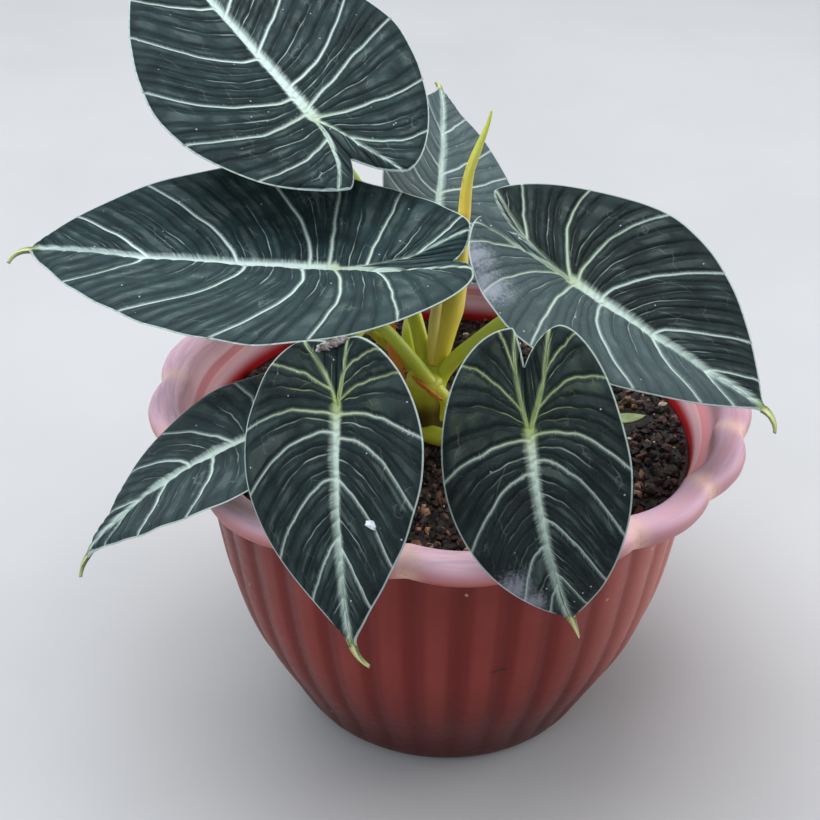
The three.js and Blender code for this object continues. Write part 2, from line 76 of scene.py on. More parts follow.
def srgb(red: int, green: int, blue: int) -> tuple[float, float, float, float]:
    """Turns a colour of 0 to 255 a channel, as a screen shows it, into a shader's colour."""
    linear = [((c / 255 + 0.055) / 1.055) ** 2.4 if c > 10 else c / 255 / 12.92 for c in (red, green, blue)]
    return (*linear, 1.0)


def deselect() -> None:
    """Deselects every object, so that the next operator acts on what it is given."""
    if bpy.context.object and bpy.context.object.mode != "OBJECT":
        bpy.ops.object.mode_set(mode="OBJECT")
    bpy.ops.object.select_all(action="DESELECT")


def activate(piece: Piece) -> None:
    """Selects one object alone and makes it the active one.

    Args:
        piece: The object.
    """
    deselect()
    piece.select_set(True)
    bpy.context.view_layer.objects.active = piece


def apply_place(piece: Piece) -> None:
    """Moves an object's place, turn and size into its mesh."""
    activate(piece)
    bpy.ops.object.transform_apply(location=True, rotation=True, scale=True)


def apply_modifier(piece: Piece, kind: str, **settings: object) -> None:
    """Adds a modifier and applies it.

    Args:
        piece: The object to change.
        kind: Blender's name of the modifier.
        settings: Values of the modifier's properties.
    """
    activate(piece)
    modifier = piece.modifiers.new(kind.lower(), kind)
    for key, value in settings.items():
        setattr(modifier, key, value)
    bpy.ops.object.modifier_apply(modifier=modifier.name)


def close_and_smooth(piece: Piece, merge: float = 0.002, smooth_shade: bool = True) -> None:
    """Merges doubled vertices, turns all faces outwards and shades the piece smooth.

    Args:
        piece: The mesh object.
        merge: Distance under which vertices become one, in millimetres.
        smooth_shade: False for a faceted piece.
    """
    activate(piece)
    bpy.ops.object.mode_set(mode="EDIT")
    bpy.ops.mesh.select_all(action="SELECT")
    bpy.ops.mesh.remove_doubles(threshold=merge * MM)
    bpy.ops.mesh.normals_make_consistent(inside=False)
    bpy.ops.object.mode_set(mode="OBJECT")
    if smooth_shade:
        bpy.ops.object.shade_smooth()


def coordinates(mesh: bpy.types.Mesh) -> Array:
    """Reads a mesh's vertices, in millimetres.

    Args:
        mesh: The mesh.

    Returns:
        An array of n by 3.
    """
    flat = np.empty(len(mesh.vertices) * 3, dtype=np.float32)
    mesh.vertices.foreach_get("co", flat)
    return flat.reshape(-1, 3).astype(float) / MM


def set_coordinates(mesh: bpy.types.Mesh, points: Array) -> None:
    """Writes a mesh's vertices, given in millimetres."""
    mesh.vertices.foreach_set("co", (points * MM).astype(np.float32).ravel())
    mesh.update()


def new_mesh_object(name: str, points: Array, quads: Array) -> Piece:
    """Makes an object from points in millimetres and faces of four corners.

    Args:
        name: The piece's name.
        points: An array of n by 3.
        quads: An array of m by 4 vertex numbers.

    Returns:
        The new object, linked to the scene.
    """
    mesh = bpy.data.meshes.new(name)
    mesh.vertices.add(len(points))
    mesh.vertices.foreach_set("co", (points * MM).astype(np.float32).ravel())
    mesh.loops.add(quads.size)
    mesh.loops.foreach_set("vertex_index", quads.astype(np.int32).ravel())
    mesh.polygons.add(len(quads))
    mesh.polygons.foreach_set("loop_start", np.arange(0, quads.size, 4, dtype=np.int32))
    mesh.polygons.foreach_set("loop_total", np.full(len(quads), 4, dtype=np.int32))
    mesh.update(calc_edges=True)
    piece = bpy.data.objects.new(name, mesh)
    bpy.context.collection.objects.link(piece)
    return piece


def set_attribute(mesh: bpy.types.Mesh, name: str, values: Array) -> None:
    """Stores three numbers on each vertex, for the material to read."""
    layer = mesh.attributes.new(name, "FLOAT_VECTOR", "POINT")
    layer.data.foreach_set("vector", values.astype(np.float32).ravel())


def dress(piece: Piece, material: Material, slot: str, *nodes: str) -> None:
    """Gives a piece its material, hangs it on the body that it rides on and hides the CAD nodes that it stands for.

    Args:
        piece: The finished object.
        material: Its only material.
        slot: Not used.
        nodes: The CAD nodes that the piece stands for.
    """
    piece.data.materials.clear()
    piece.data.materials.append(material)
    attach(piece, BODY)
    if nodes:
        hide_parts(*nodes)
    LOG.info("%s: %d faces", piece.name, len(piece.data.polygons))


def run_length(line: Array) -> Array:
    """Length of a line of points from its start to each of them."""
    return np.concatenate([[0], np.cumsum(np.linalg.norm(np.diff(line, axis=0), axis=1))])


def curve_through(points: Array, per_stretch: int) -> Array:
    """Runs a centripetal Catmull-Rom curve through points.

    Args:
        points: An array of n by 2 or 3.
        per_stretch: Number of steps between two points.

    Returns:
        The points of the curve, evenly spaced along it.
    """
    padded = np.vstack([2 * points[0] - points[1], points, 2 * points[-1] - points[-2]])
    dense = 24
    out = []
    for i in range(1, len(padded) - 2):
        p0, p1, p2, p3 = padded[i - 1:i + 3]
        d0, d1, d2 = (max(np.linalg.norm(b - a) ** 0.5, 1e-4) for a, b in ((p0, p1), (p1, p2), (p2, p3)))
        start = ((p1 - p0) / d0 - (p2 - p0) / (d0 + d1) + (p2 - p1) / d1) * d1
        end = ((p2 - p1) / d1 - (p3 - p1) / (d1 + d2) + (p3 - p2) / d2) * d1
        t = np.linspace(0, 1, dense, endpoint=False)[:, None]
        out.append(p1 + start * t + (-3 * p1 + 3 * p2 - 2 * start - end) * t ** 2
                   + (2 * p1 - 2 * p2 + start + end) * t ** 3)
    line = np.vstack([*out, points[-1:]])
    length = run_length(line)
    even = np.linspace(0, length[-1], (len(points) - 1) * per_stretch + 1)
    return np.stack([np.interp(even, length, line[:, k]) for k in range(line.shape[1])], axis=-1)


def lay_section(name: str, section: Array) -> Piece:
    """Lays an open line of vertices along a section, in the plane of X and Z.

    Args:
        name: The piece's name.
        section: Rows that start with radius and height, in millimetres.

    Returns:
        An object of edges alone.
    """
    deselect()
    bpy.ops.mesh.primitive_circle_add(vertices=len(section), fill_type="NOTHING")
    line = bpy.context.object
    line.name = line.data.name = name
    set_coordinates(line.data, np.column_stack([section[:, 0], np.zeros(len(section)), section[:, 1]]))
    bpy.ops.object.mode_set(mode="EDIT")
    bpy.ops.mesh.select_mode(type="EDGE")
    bpy.ops.mesh.select_all(action="DESELECT")
    bpy.ops.object.mode_set(mode="OBJECT")
    for edge in line.data.edges:
        edge.select = abs(edge.vertices[0] - edge.vertices[1]) > 1
    bpy.ops.object.mode_set(mode="EDIT")
    bpy.ops.mesh.delete(type="EDGE_FACE")
    bpy.ops.object.mode_set(mode="OBJECT")
    return line


def spin_section(line: Piece, steps: int) -> None:
    """Spins a section once round the Z axis and closes the result.

    Args:
        line: What lay_section made.
        steps: Number of columns.
    """
    activate(line)
    bpy.ops.object.mode_set(mode="EDIT")
    bpy.ops.mesh.select_all(action="SELECT")
    bpy.ops.mesh.spin(steps=steps, angle=2 * math.pi, center=(0, 0, 0), axis=(0, 0, 1))
    bpy.ops.object.mode_set(mode="OBJECT")
    close_and_smooth(line, merge=0.01)


def band_distance(points: Array, lines: list[tuple[Array, Array]]) -> Array:
    """Distance of flat points from the nearest of several bands, negative inside one.

    Args:
        points: An array of n by 2.
        lines: For each band its middle line, m by 2, and its half width at each point of it.

    Returns:
        An array of n distances.
    """
    best = np.full(len(points), 1e9)
    for line, half_width in lines:
        for a, b, wa, wb in zip(line[:-1], line[1:], half_width[:-1], half_width[1:]):
            edge = b - a
            size = float(edge @ edge)
            if size < 1e-9:
                continue
            share = np.clip((points - a) @ edge / size, 0, 1)
            gap = points - a - share[:, None] * edge
            np.minimum(best, np.hypot(gap[:, 0], gap[:, 1]) - (wa + (wb - wa) * share), out=best)
    return best


# ---- node trees


class NodeKit:
    """Builds the node tree of one material, in short calls that return the output sockets."""

    def __init__(self, name: str) -> None:
        """Starts an empty material with a Principled shader.

        Args:
            name: The material's name.
        """
        self.material = bpy.data.materials.new(name)
        self.material.use_nodes = True
        self.tree = self.material.node_tree
        self.tree.nodes.clear()
        output = self.tree.nodes.new("ShaderNodeOutputMaterial")
        self.shader = self.tree.nodes.new("ShaderNodeBsdfPrincipled")
        self.tree.links.new(self.shader.outputs[0], output.inputs["Surface"])

    def _put(self, socket: Socket, value: object) -> None:
        """Links a socket to another one, or sets it to a plain value.

        Args:
            socket: The input.
            value: Another socket, a number or a colour.
        """
        if isinstance(value, Socket):
            self.tree.links.new(value, socket)
        else:
            socket.default_value = value

    def set(self, **inputs: object) -> None:
        """Sets the shader's inputs by name, with underscores for the spaces."""
        for key, value in inputs.items():
            self._put(self.shader.inputs[key.replace("_", " ")], value)

    def object_place(self) -> Socket:
        """Object coordinates, in metres."""
        return self.tree.nodes.new("ShaderNodeTexCoord").outputs["Object"]

    def attribute(self, name: str) -> Socket:
        """The vector stored on the mesh under a name.

        Args:
            name: The attribute.

        Returns:
            Its vector.
        """
        node = self.tree.nodes.new("ShaderNodeAttribute")
        node.attribute_name = name
        return node.outputs["Vector"]

    def split(self, vector: Socket) -> tuple[Socket, ...]:
        """The three numbers of a vector.

        Args:
            vector: The vector.

        Returns:
            X, Y and Z.
        """
        node = self.tree.nodes.new("ShaderNodeSeparateXYZ")
        self._put(node.inputs[0], vector)
        return tuple(node.outputs)

    def join(self, x: object, y: object, z: object) -> Socket:
        """A vector of three numbers.

        Args:
            x: First number.
            y: Second number.
            z: Third number.

        Returns:
            The vector.
        """
        node = self.tree.nodes.new("ShaderNodeCombineXYZ")
        for socket, value in zip(node.inputs, (x, y, z)):
            self._put(socket, value)
        return node.outputs[0]

    def math(self, operation: str, a: object, b: object = 0.0) -> Socket:
        """One sum on one or two numbers.

        Args:
            operation: Blender's name of the sum.
            a: First number.
            b: Second number.

        Returns:
            The result.
        """
        node = self.tree.nodes.new("ShaderNodeMath")
        node.operation = operation
        self._put(node.inputs[0], a)
        self._put(node.inputs[1], b)
        return node.outputs[0]

    def add(self, a: object, b: object) -> Socket:
        """The sum of two numbers."""
        return self.math("ADD", a, b)

    def sway(self, value: object, pattern: object, size: float) -> Socket:
        """A number pushed up and down by noise around 0.5."""
        return self.add(value, self.times(self.math("SUBTRACT", pattern, 0.5), size))

    def times(self, *factors: object) -> Socket:
        """The product of several numbers.

        Args:
            factors: Numbers or sockets.

        Returns:
            The product.
        """
        product = factors[0]
        for factor in factors[1:]:
            product = self.math("MULTIPLY", product, factor)
        return product

    def step(self, value: object, low: float, high: float, out: tuple[float, float] = (0.0, 1.0)) -> Socket:
        """Maps a number from low..high to out, along an S-curve. A low above high turns the curve round.

        Args:
            value: The number.
            low: Where the curve starts.
            high: Where it ends.
            out: What it gives there.

        Returns:
            The mapped number.
        """
        node = self.tree.nodes.new("ShaderNodeMapRange")
        node.interpolation_type = "SMOOTHSTEP"
        ends = (high, low, out[1], out[0]) if low > high else (low, high, *out)
        self._put(node.inputs[0], value)
        for socket, end in zip(list(node.inputs)[1:5], ends):
            socket.default_value = end
        return node.outputs[0]

    def noise(self, vector: object, scale: float, detail: float = 2.0, rough: float = 0.5) -> Socket:
        """Smooth noise around 0.5.

        Args:
            vector: The place.
            scale: Waves per unit of place.
            detail: Number of finer layers.
            rough: Strength of the finer layers.

        Returns:
            The noise.
        """
        node = self.tree.nodes.new("ShaderNodeTexNoise")
        self._put(node.inputs["Vector"], vector)
        node.inputs["Scale"].default_value = scale
        node.inputs["Detail"].default_value = detail
        node.inputs["Roughness"].default_value = rough
        return node.outputs["Fac"]

    def cells(self, vector: object, scale: float) -> tuple[Socket, Socket]:
        """Distance from the nearest of many scattered points, and that point's random colour.

        Args:
            vector: The place.
            scale: Points per unit of place.

        Returns:
            The distance and the colour.
        """
        node = self.tree.nodes.new("ShaderNodeTexVoronoi")
        self._put(node.inputs["Vector"], vector)
        node.inputs["Scale"].default_value = scale
        return node.outputs["Distance"], node.outputs["Color"]

    def net(self, vector: object, scale: float) -> Socket:
        """Distance from the nearest line of an irregular flat net.

        Args:
            vector: The place.
            scale: Meshes per unit of place.

        Returns:
            The distance.
        """
        node = self.tree.nodes.new("ShaderNodeTexVoronoi")
        node.voronoi_dimensions = "2D"
        node.feature = "DISTANCE_TO_EDGE"
        self._put(node.inputs["Vector"], vector)
        node.inputs["Scale"].default_value = scale
        return node.outputs["Distance"]

    def blend(self, share: object, a: object, b: object) -> Socket:
        """A colour between a and b.

        Args:
            share: 0 for a and 1 for b.
            a: First colour.
            b: Second colour.

        Returns:
            The mixed colour.
        """
        node = self.tree.nodes.new("ShaderNodeMix")
        node.data_type = "RGBA"
        self._put(node.inputs[0], share)
        self._put(node.inputs[6], a)
        self._put(node.inputs[7], b)
        return node.outputs[2]

    def ramp(self, value: object, *stops: tuple[float, tuple]) -> Socket:
        """A colour looked up between stops of (place, colour).

        Args:
            value: Where to look, 0 to 1.
            stops: Places and their colours, in order.

        Returns:
            The colour.
        """
        node = self.tree.nodes.new("ShaderNodeValToRGB")
        bar = node.color_ramp.elements
        while len(bar) < len(stops):
            bar.new(0.5)
        for element, (place, colour) in zip(bar, stops):
            element.position = place
            element.color = colour
        self._put(node.inputs[0], value)
        return node.outputs[0]

    def bump(self, height: object, distance: float, strength: float) -> Socket:
        """A normal bent by a height of 0 to 1, which stands for `distance` millimetres.

        Args:
            height: The pattern.
            distance: The relief that it stands for.
            strength: How much of it shows.

        Returns:
            The bent normal.
        """
        node = self.tree.nodes.new("ShaderNodeBump")
        node.inputs["Strength"].default_value = strength
        node.inputs["Distance"].default_value = distance * MM
        self._put(node.inputs["Height"], height)
        return node.outputs[0]


# ---- finishes


@dataclass(frozen=True)
class BladeFinish:
    """Velvety, nearly black green with silver veins, a silver margin and a paler underside, and painted sheen and
    painted shade on the upper face.

    Its tree reads what the blade's mesh carries: distances from veins and margin and places on the blade, in
    millimetres, the leaf's own tones, and how much painted sheen lies on each half and on the whole leaf.
    """

    dark: tuple = srgb(16, 21, 20)
    light: tuple = srgb(27, 34, 33)
    # Bluish ground colours for painted sky sheen, mixed in by how much of it the leaf carries.
    sky_sheen_dark: tuple = srgb(24, 39, 41)
    sky_sheen_light: tuple = srgb(36, 57, 60)
    crest_sheen: tuple = srgb(64, 84, 84)
    furrow_shade: tuple = srgb(9, 13, 10)
    sheen_grey: tuple = srgb(90, 106, 108)
    silver: tuple = srgb(214, 232, 228)
    soft_silver: tuple = srgb(186, 202, 194)
    fresh: tuple = srgb(154, 172, 112)
    tip: tuple = srgb(212, 216, 152)
    under: tuple = srgb(108, 124, 92)
    under_vein: tuple = srgb(168, 184, 132)
    under_shade: tuple = srgb(84, 100, 72)
    # Pale grey-lavender of the dust, also used for the painted sheen cloud on blade_right.
    dust_and_sheen: tuple = srgb(196, 200, 214)
    sheen: tuple = srgb(140, 196, 224)
    rim_strength: float = 0.74
    speck_strength: float = 0.75
    cloud_strength: float = 0.36

    def _read(self, kit: NodeKit) -> SimpleNamespace:
        """Reads the blade's attributes and makes the patterns that several parts of the tree share.

        Args:
            kit: The material's tree.

        Returns:
            The attributes and patterns, by name.
        """
        on = SimpleNamespace()
        on.midrib, on.lateral, on.fine = kit.split(kit.attribute("veins"))
        on.across, on.along, on.edge = kit.split(kit.attribute("rows"))
        x, y, on.seed = kit.split(kit.attribute("flat"))
        on.green, on.under, on.dust_and_sheen = kit.split(kit.attribute("tones"))
        on.start, on.minor, on.share = kit.split(kit.attribute("spine"))
        # Painted sheen of this half and of the whole leaf, then the room between fine veins.
        on.pale, on.sky_sheen, room = kit.split(kit.attribute("age"))
        on.flat = kit.join(x, y, on.seed)
        on.roomy = kit.step(room, 0.3, 0.8)
        on.mottle = kit.noise(on.flat, 0.14, 3.0)
        bend = kit.times(kit.math("SUBTRACT", kit.noise(on.flat, 0.16), 0.5), 1.3)
        apart = kit.add(bend, kit.times(on.seed, 3.7))
        on.web = kit.net(kit.join(kit.add(kit.times(on.across, 0.14), apart),
                                  kit.add(kit.times(on.along, 0.1), bend), 0.0), 1.0)
        return on

    def _ground(self, kit: NodeKit, on: SimpleNamespace) -> Socket:
        """Colour between the veins: mottled, with painted sky sheen and painted grey sheen where the leaf carries
        them, painted sheen on the pad crests and painted shade in a dark furrow along each fine vein.

        Args:
            kit: The material's tree.
            on: What _read gave.

        Returns:
            The colour.
        """
        # Painted sheen: the ground turns bluish and lighter on leaves that carry more sky sheen.
        colour = kit.blend(kit.step(on.mottle, 0.3, 0.7), kit.blend(on.sky_sheen, self.dark, self.sky_sheen_dark),
                           kit.blend(on.sky_sheen, self.light, self.sky_sheen_light))
        weave = kit.noise(on.flat, 2.2, 3.0, 0.7)
        # Fine patchy grain in the painted sheen colour.
        colour = kit.blend(kit.step(weave, 0.42, 0.72, (0.0, 0.2)), colour, self.crest_sheen)
        # Painted grey sheen over halves that carry it, patchy.
        colour = kit.blend(kit.times(on.pale, kit.step(weave, 0.2, 0.6, (0.7, 1.0))), colour, self.sheen_grey)
        # Painted sheen on the crests of the pads and painted shade in the furrows along the fine veins.
        crest_sheen = kit.times(kit.step(on.fine, 0.9, 2.0), kit.step(on.mottle, 0.3, 0.7, (0.03, 0.15)), on.roomy)
        furrow_shade = kit.times(kit.step(on.fine, 0.75, 0.05, (0.0, 0.5)), kit.step(on.sky_sheen, 0.0, 0.8, (0.5, 1.0)),
                           on.roomy)
        return kit.blend(furrow_shade, kit.blend(crest_sheen, colour, self.crest_sheen), self.furrow_shade)

    def _veins(self, kit: NodeKit, on: SimpleNamespace) -> tuple[tuple[Socket, float], ...]:
        """Finds all that is silver, and a faint painted sheen along the crests of the pads.

        Args:
            kit: The material's tree.
            on: What _read gave.

        Returns:
            Masks with their strengths, faintest first. The last two are the side veins and the midrib.
        """
        strands = kit.noise(kit.join(kit.times(on.start, 1.6), kit.times(on.along, 0.16), on.seed), 1.0)
        tooth = kit.noise(kit.join(kit.times(on.along, 1.9), kit.times(on.across, 0.14), on.seed), 1.0)
        patch = kit.noise(kit.join(kit.times(on.across, 0.13), kit.times(on.along, 0.12), on.seed), 1.0)
        inward = kit.step(on.edge, 0.5, 4.0)

        # Faint pale line along the middle of each pad: painted sheen on its crest.
        ridge = kit.times(kit.step(on.fine, 1.55, 2.0), kit.step(patch, 0.35, 0.65, (0.0, 0.07)), inward, on.roomy)
        hair = kit.times(kit.step(on.fine, 0.34, 0.03), kit.step(patch, 0.4, 0.7, (0.03, 0.26)), inward, on.roomy,
                         kit.step(on.share, 0.9, 0.1, (0.15, 1.0)))
        threads = kit.times(kit.step(on.web, 0.04, 0.006), kit.step(patch, 0.45, 0.7, (0.0, 0.1)), inward)
        second = kit.times(kit.step(on.minor, 0.32, 0.05), kit.step(on.share, 0.84, 0.3),
                           kit.step(patch, 0.38, 0.6, (0.1, 0.6)))

        halo = kit.step(on.lateral, 0.8, -0.1, (0.0, 0.32))
        ragged = kit.math("SUBTRACT", on.lateral, kit.step(tooth, 0.52, 0.82, (0.0, 1.2)))
        fringe = kit.times(kit.step(ragged, 0.35, -0.25), kit.step(on.lateral, 1.4, 0.0, (0.0, 0.42)))
        main = kit.times(kit.step(kit.sway(on.lateral, tooth, 0.34), 0.16, -0.18),
                         kit.step(on.share, 1.05, 0.2, (0.64, 0.94)), kit.step(on.share, 1.0, 0.88, (0.45, 1.0)))

        glow = kit.times(kit.step(on.midrib, 1.7, -0.3, (0.0, 0.6)), kit.step(strands, 0.15, 0.6, (0.6, 1.0)))
        reach = kit.step(strands, 0.4, 0.82, (0.0, 2.3))
        feather = kit.times(kit.step(kit.math("SUBTRACT", on.midrib, reach), 0.8, -0.9),
                            kit.step(on.midrib, 2.8, 0.0, (0.0, 0.5)))
        rib = kit.step(kit.sway(on.midrib, strands, 0.3), 0.36, -0.42)
        return ((ridge, 1.0), (hair, 1.0), (threads, 1.0), (second, 0.7), (halo, 0.8), (glow, 0.8), (feather, 0.72),
                (fringe, 0.9), (main, 1.0), (rib, 0.95))

    def _silvered(self, kit: NodeKit, on: SimpleNamespace, ground: object, veins: tuple) -> Socket:
        """Lays the veins and the margin's pale line over the ground, greener where the leaf is green, and brighter
        where the leaf carries more painted sky sheen.

        Args:
            kit: The material's tree.
            on: What _read gave.
            ground: The colour between the veins.
            veins: What _veins gave.

        Returns:
            The colour.
        """
        green = kit.math("MINIMUM", on.green, 1.0)
        fresh = kit.blend(kit.step(on.green, 1.0, 1.9), self.fresh, self.tip)
        silver = kit.blend(green, kit.blend(on.sky_sheen, self.soft_silver, self.silver), fresh)
        colour = ground
        for mask, strength in veins:
            colour = kit.blend(kit.times(mask, strength), colour, silver)
        rim = kit.times(kit.step(on.edge, 0.54, 0.22), kit.step(on.sky_sheen, 0.0, 0.8, (0.74, 1.0)), self.rim_strength)
        return kit.blend(rim, colour, kit.blend(kit.times(green, 0.3), self.silver, self.fresh))

    def _dusted(self, kit: NodeKit, on: SimpleNamespace, colour: object) -> Socket:
        """Strews pale specks of dust over the blade, and a pale cloud where the leaf has one: dust, and on
        blade_right a painted sheen.

        Args:
            kit: The material's tree.
            on: What _read gave.
            colour: The colour below the dust.

        Returns:
            The colour.
        """
        specks, tone = kit.cells(on.flat, 0.3)
        speck = kit.times(kit.step(specks, 0.1, 0.05), kit.step(kit.split(tone)[0], 0.8, 0.81))
        blown = kit.add(on.dust_and_sheen, kit.times(kit.noise(on.flat, 0.9, 5.0, 0.7), 1.1))
        cloud = kit.times(kit.step(blown, 0.9, 1.5), kit.step(on.dust_and_sheen, 0.0, 0.25))
        lying = kit.math("MAXIMUM", kit.times(speck, self.speck_strength), kit.times(cloud, self.cloud_strength))
        return kit.blend(lying, colour, self.dust_and_sheen)

    def build(self) -> Material:
        """Makes the material.

        Returns:
            A material that reads the attributes "veins", "rows", "flat", "tones", "spine" and "age".
        """
        kit = NodeKit("leaf_blade")
        on = self._read(kit)
        veins = self._veins(kit, on)
        upper = self._dusted(kit, on, self._silvered(kit, on, self._ground(kit, on), veins))
        lower = kit.blend(kit.math("MAXIMUM", veins[-2][0], veins[-1][0]), self.under, self.under_vein)
        lower = kit.blend(kit.times(kit.step(on.mottle, 0.35, 0.7), 0.35), lower, self.under_shade)
        grain = kit.noise(on.flat, 3.0, 3.0, 0.6)
        pads = kit.add(kit.times(kit.step(on.fine, 0.0, 1.3), 0.6), kit.times(kit.step(on.web, 0.0, 0.25), 0.15))
        normal = kit.bump(kit.add(kit.times(grain, 0.3), pads), 0.45, 0.8)
        kit.set(Base_Color=kit.blend(on.under, upper, lower), Roughness=kit.step(grain, 0.3, 0.7, (0.46, 0.6)),
                Specular_IOR_Level=0.1, Normal=normal, Sheen_Weight=0.04, Sheen_Roughness=0.4, Sheen_Tint=self.sheen)
        return kit.material


@dataclass(frozen=True)
class PotFinish:
    """Brick-pink plastic, worn to a pale mauve on top of the roll, with painted light and shade: lighter flute
    crests, darker grooves and foot, a roll painted paler than the body and darker beneath, painted highlights in the
    scallop creases and along the ledge, a painted lit inner wall and a painted red glow towards the soil.

    The zones are places on the pot's section, counted in its corners from the foot.
    """

    body: tuple = srgb(112, 33, 28)
    body_dusty: tuple = srgb(132, 53, 46)
    body_lit: tuple = srgb(186, 108, 98)
    body_deep: tuple = srgb(64, 5, 3)
    # Paler than the body: partly the roll's own faded plastic, partly painted light on its top.
    roll: tuple = srgb(250, 206, 222)
    roll_underside_shade: tuple = srgb(170, 92, 88)
    roll_shade: tuple = srgb(182, 132, 144)
    worn: tuple = srgb(212, 176, 200)
    crease_highlight: tuple = srgb(250, 208, 186)
    band: tuple = srgb(224, 146, 154)
    ledge_highlight: tuple = srgb(240, 186, 192)
    # Inner wall: the pale pink is painted light on the wall facing the lamps; the deep red is a painted glow of light
    # through the plastic near the soil.
    inside: tuple = srgb(255, 204, 220)
    glow_through_wall: tuple = srgb(196, 30, 34)
    speck: tuple = srgb(206, 176, 150)
    scuff: tuple = srgb(52, 26, 22)
    roll_from: float = 7.6
    band_at: tuple = (13.05, 13.9)
    ledge: float = 14.1
    soil_line: float = 15.0
    # Middle and half sizes of each mark, in millimetres.
    scuffs: tuple = (((16.3, -75.3, 60.8), (3.8, 3.0, 0.8)), ((53, -84, 117.6), (1.8, 1.8, 0.9)),
                     ((-94.8, 27.6, 112.4), (1.6, 4.0, 1.3)), ((-24.4, -75.1, 71.9), (0.8, 1.5, 0.6)))

    def _scuff(self, kit: NodeKit, place: object, middle: Point, reach: Point) -> Socket:
        """A ragged mark around a point.

        Args:
            kit: The material's tree.
            place: Object coordinates.
            middle: The mark's middle, in millimetres.
            reach: Its half sizes along X, Y and Z, in millimetres.

        Returns:
            1 in the mark and 0 outside.
        """
        away = [kit.math("DIVIDE", kit.math("SUBTRACT", axis, at * MM), size * MM)
                for axis, at, size in zip(kit.split(place), middle, reach)]
        squares = kit.add(kit.add(*(kit.times(axis, axis) for axis in away[:2])), kit.times(away[2], away[2]))
        return kit.step(kit.add(squares, kit.times(kit.noise(place, 900.0, 3.0), 1.2)), 1.6, 0.95)

    def build(self) -> Material:
        """Makes the material, which reads object coordinates and the attribute "ring".

        Returns:
            The material of the pot.
        """
        kit = NodeKit("pot_plastic")
        place = kit.object_place()
        x, y, z = kit.split(place)
        zone, crease, groove = kit.split(kit.attribute("ring"))
        turn = kit.math("ABSOLUTE", kit.math("ARCTAN2", y, x))
        radius = kit.math("SQRT", kit.add(kit.times(x, x), kit.times(y, y)))
        streaks = kit.noise(kit.join(kit.times(turn, 7.0), kit.times(radius, 1000.0), kit.times(z, 1000.0)),
                            1.0, 4.0, 0.65)
        wide_streaks = kit.noise(kit.join(kit.times(turn, 3.0), kit.times(radius, 260.0), kit.times(z, 260.0)),
                                 1.0, 3.0, 0.6)
        cloudy = kit.noise(place, 26.0, 5.0, 0.6)
        fine = kit.noise(place, 520.0, 3.0, 0.6)

        # Painted light on the flute crests, patchy.
        crest_light = kit.times(kit.step(groove, 0.34, 0.04), kit.step(cloudy, 0.25, 0.7, (0.45, 1.0)))
        body = kit.blend(crest_light, self.body, self.body_dusty)
        body = kit.blend(kit.step(x, 0.03, 0.085, (0.0, 0.8)), body, self.body_lit)
        # Painted shade: darker towards the foot and in the flute grooves.
        body = kit.blend(kit.step(z, 0.06, 0.0, (0.0, 0.9)), body, self.body_deep)
        body = kit.blend(kit.step(groove, 0.25, 1.0, (0.0, 0.24)), body, self.body_deep)

        top = kit.times(kit.step(zone, 9.2, 10.0), kit.step(zone, 12.9, 12.2))
        rubbed = kit.step(kit.add(kit.times(streaks, 0.5), kit.times(wide_streaks, 0.5)), 0.4, 0.62)
        # Painted highlight in the scallop creases.
        crease_highlight_share = kit.times(kit.step(crease, 0.35, 0.95), kit.step(fine, 0.2, 0.6, (0.2, 0.6)))
        # Painted shade on the underside of the roll.
        roll = kit.blend(kit.step(zone, 8.3, 10.2), self.roll_underside_shade, self.roll)
        roll = kit.blend(kit.step(x, 0.02, 0.09, (0.0, 0.75)), roll, self.roll_shade)
        roll = kit.blend(kit.times(top, rubbed, 0.8), roll, self.worn)
        roll = kit.blend(crease_highlight_share, roll, self.crease_highlight)

        # Painted light on the inner wall, turning to a painted red glow towards the soil.
        inside = kit.blend(kit.step(zone, self.ledge + 0.2, self.soil_line), self.inside, self.glow_through_wall)
        colour = kit.blend(kit.step(zone, self.roll_from - 0.3, self.roll_from + 0.5), body, roll)
        colour = kit.blend(kit.step(zone, self.band_at[0] - 0.15, self.band_at[0] + 0.15), colour, self.band)
        # Painted highlight along the ledge's edge.
        colour = kit.blend(kit.step(zone, self.band_at[1] - 0.12, self.band_at[1]), colour, self.ledge_highlight)
        colour = kit.blend(kit.step(zone, self.ledge, self.ledge + 0.2), colour, inside)
        specks, tone = kit.cells(place, 160.0)
        speck = kit.times(kit.step(specks, 0.13, 0.06), kit.step(kit.split(tone)[1], 0.93, 0.94))
        colour = kit.blend(kit.times(speck, 0.7), colour, self.speck)
        for middle, reach in self.scuffs:
            colour = kit.blend(kit.times(self._scuff(kit, place, middle, reach), 0.85), colour, self.scuff)

        gloss = kit.add(kit.times(streaks, 0.6), kit.times(fine, 0.4))
        on_roll = kit.step(zone, self.roll_from, self.roll_from + 0.8)
        hills = kit.add(kit.times(streaks, on_roll, 0.6), kit.times(fine, 0.35))
        kit.set(Base_Color=colour, Roughness=kit.step(gloss, 0.3, 0.7, (0.3, 0.46)), Specular_IOR_Level=0.2,
                Normal=kit.bump(hills, 0.1, 0.45))
        return kit.material


@dataclass(frozen=True)
class SoilFinish:
    """Damp, nearly black potting mix with brown bits and a few pale grains."""

    tones: tuple = ((0.0, srgb(14, 8, 8)), (0.4, srgb(50, 32, 28)), (0.62, srgb(104, 70, 52)),
                    (0.84, srgb(178, 132, 100)), (0.97, srgb(232, 218, 200)))

    def build(self) -> Material:
        """Makes the material, which reads a crumb's own shade from the attribute "shade".

        Returns:
            The material of the soil bed and its crumbs.
        """
        kit = NodeKit("potting_soil")
        shade = kit.split(kit.attribute("shade"))[0]
        grit = kit.noise(kit.object_place(), 900.0, 4.0, 0.65)
        kit.set(Base_Color=kit.ramp(kit.sway(shade, grit, 0.25), *self.tones), Specular_IOR_Level=0.5,
                Roughness=kit.step(grit, 0.3, 0.7, (0.36, 0.8)), Normal=kit.bump(grit, 0.5, 0.9))
        return kit.material


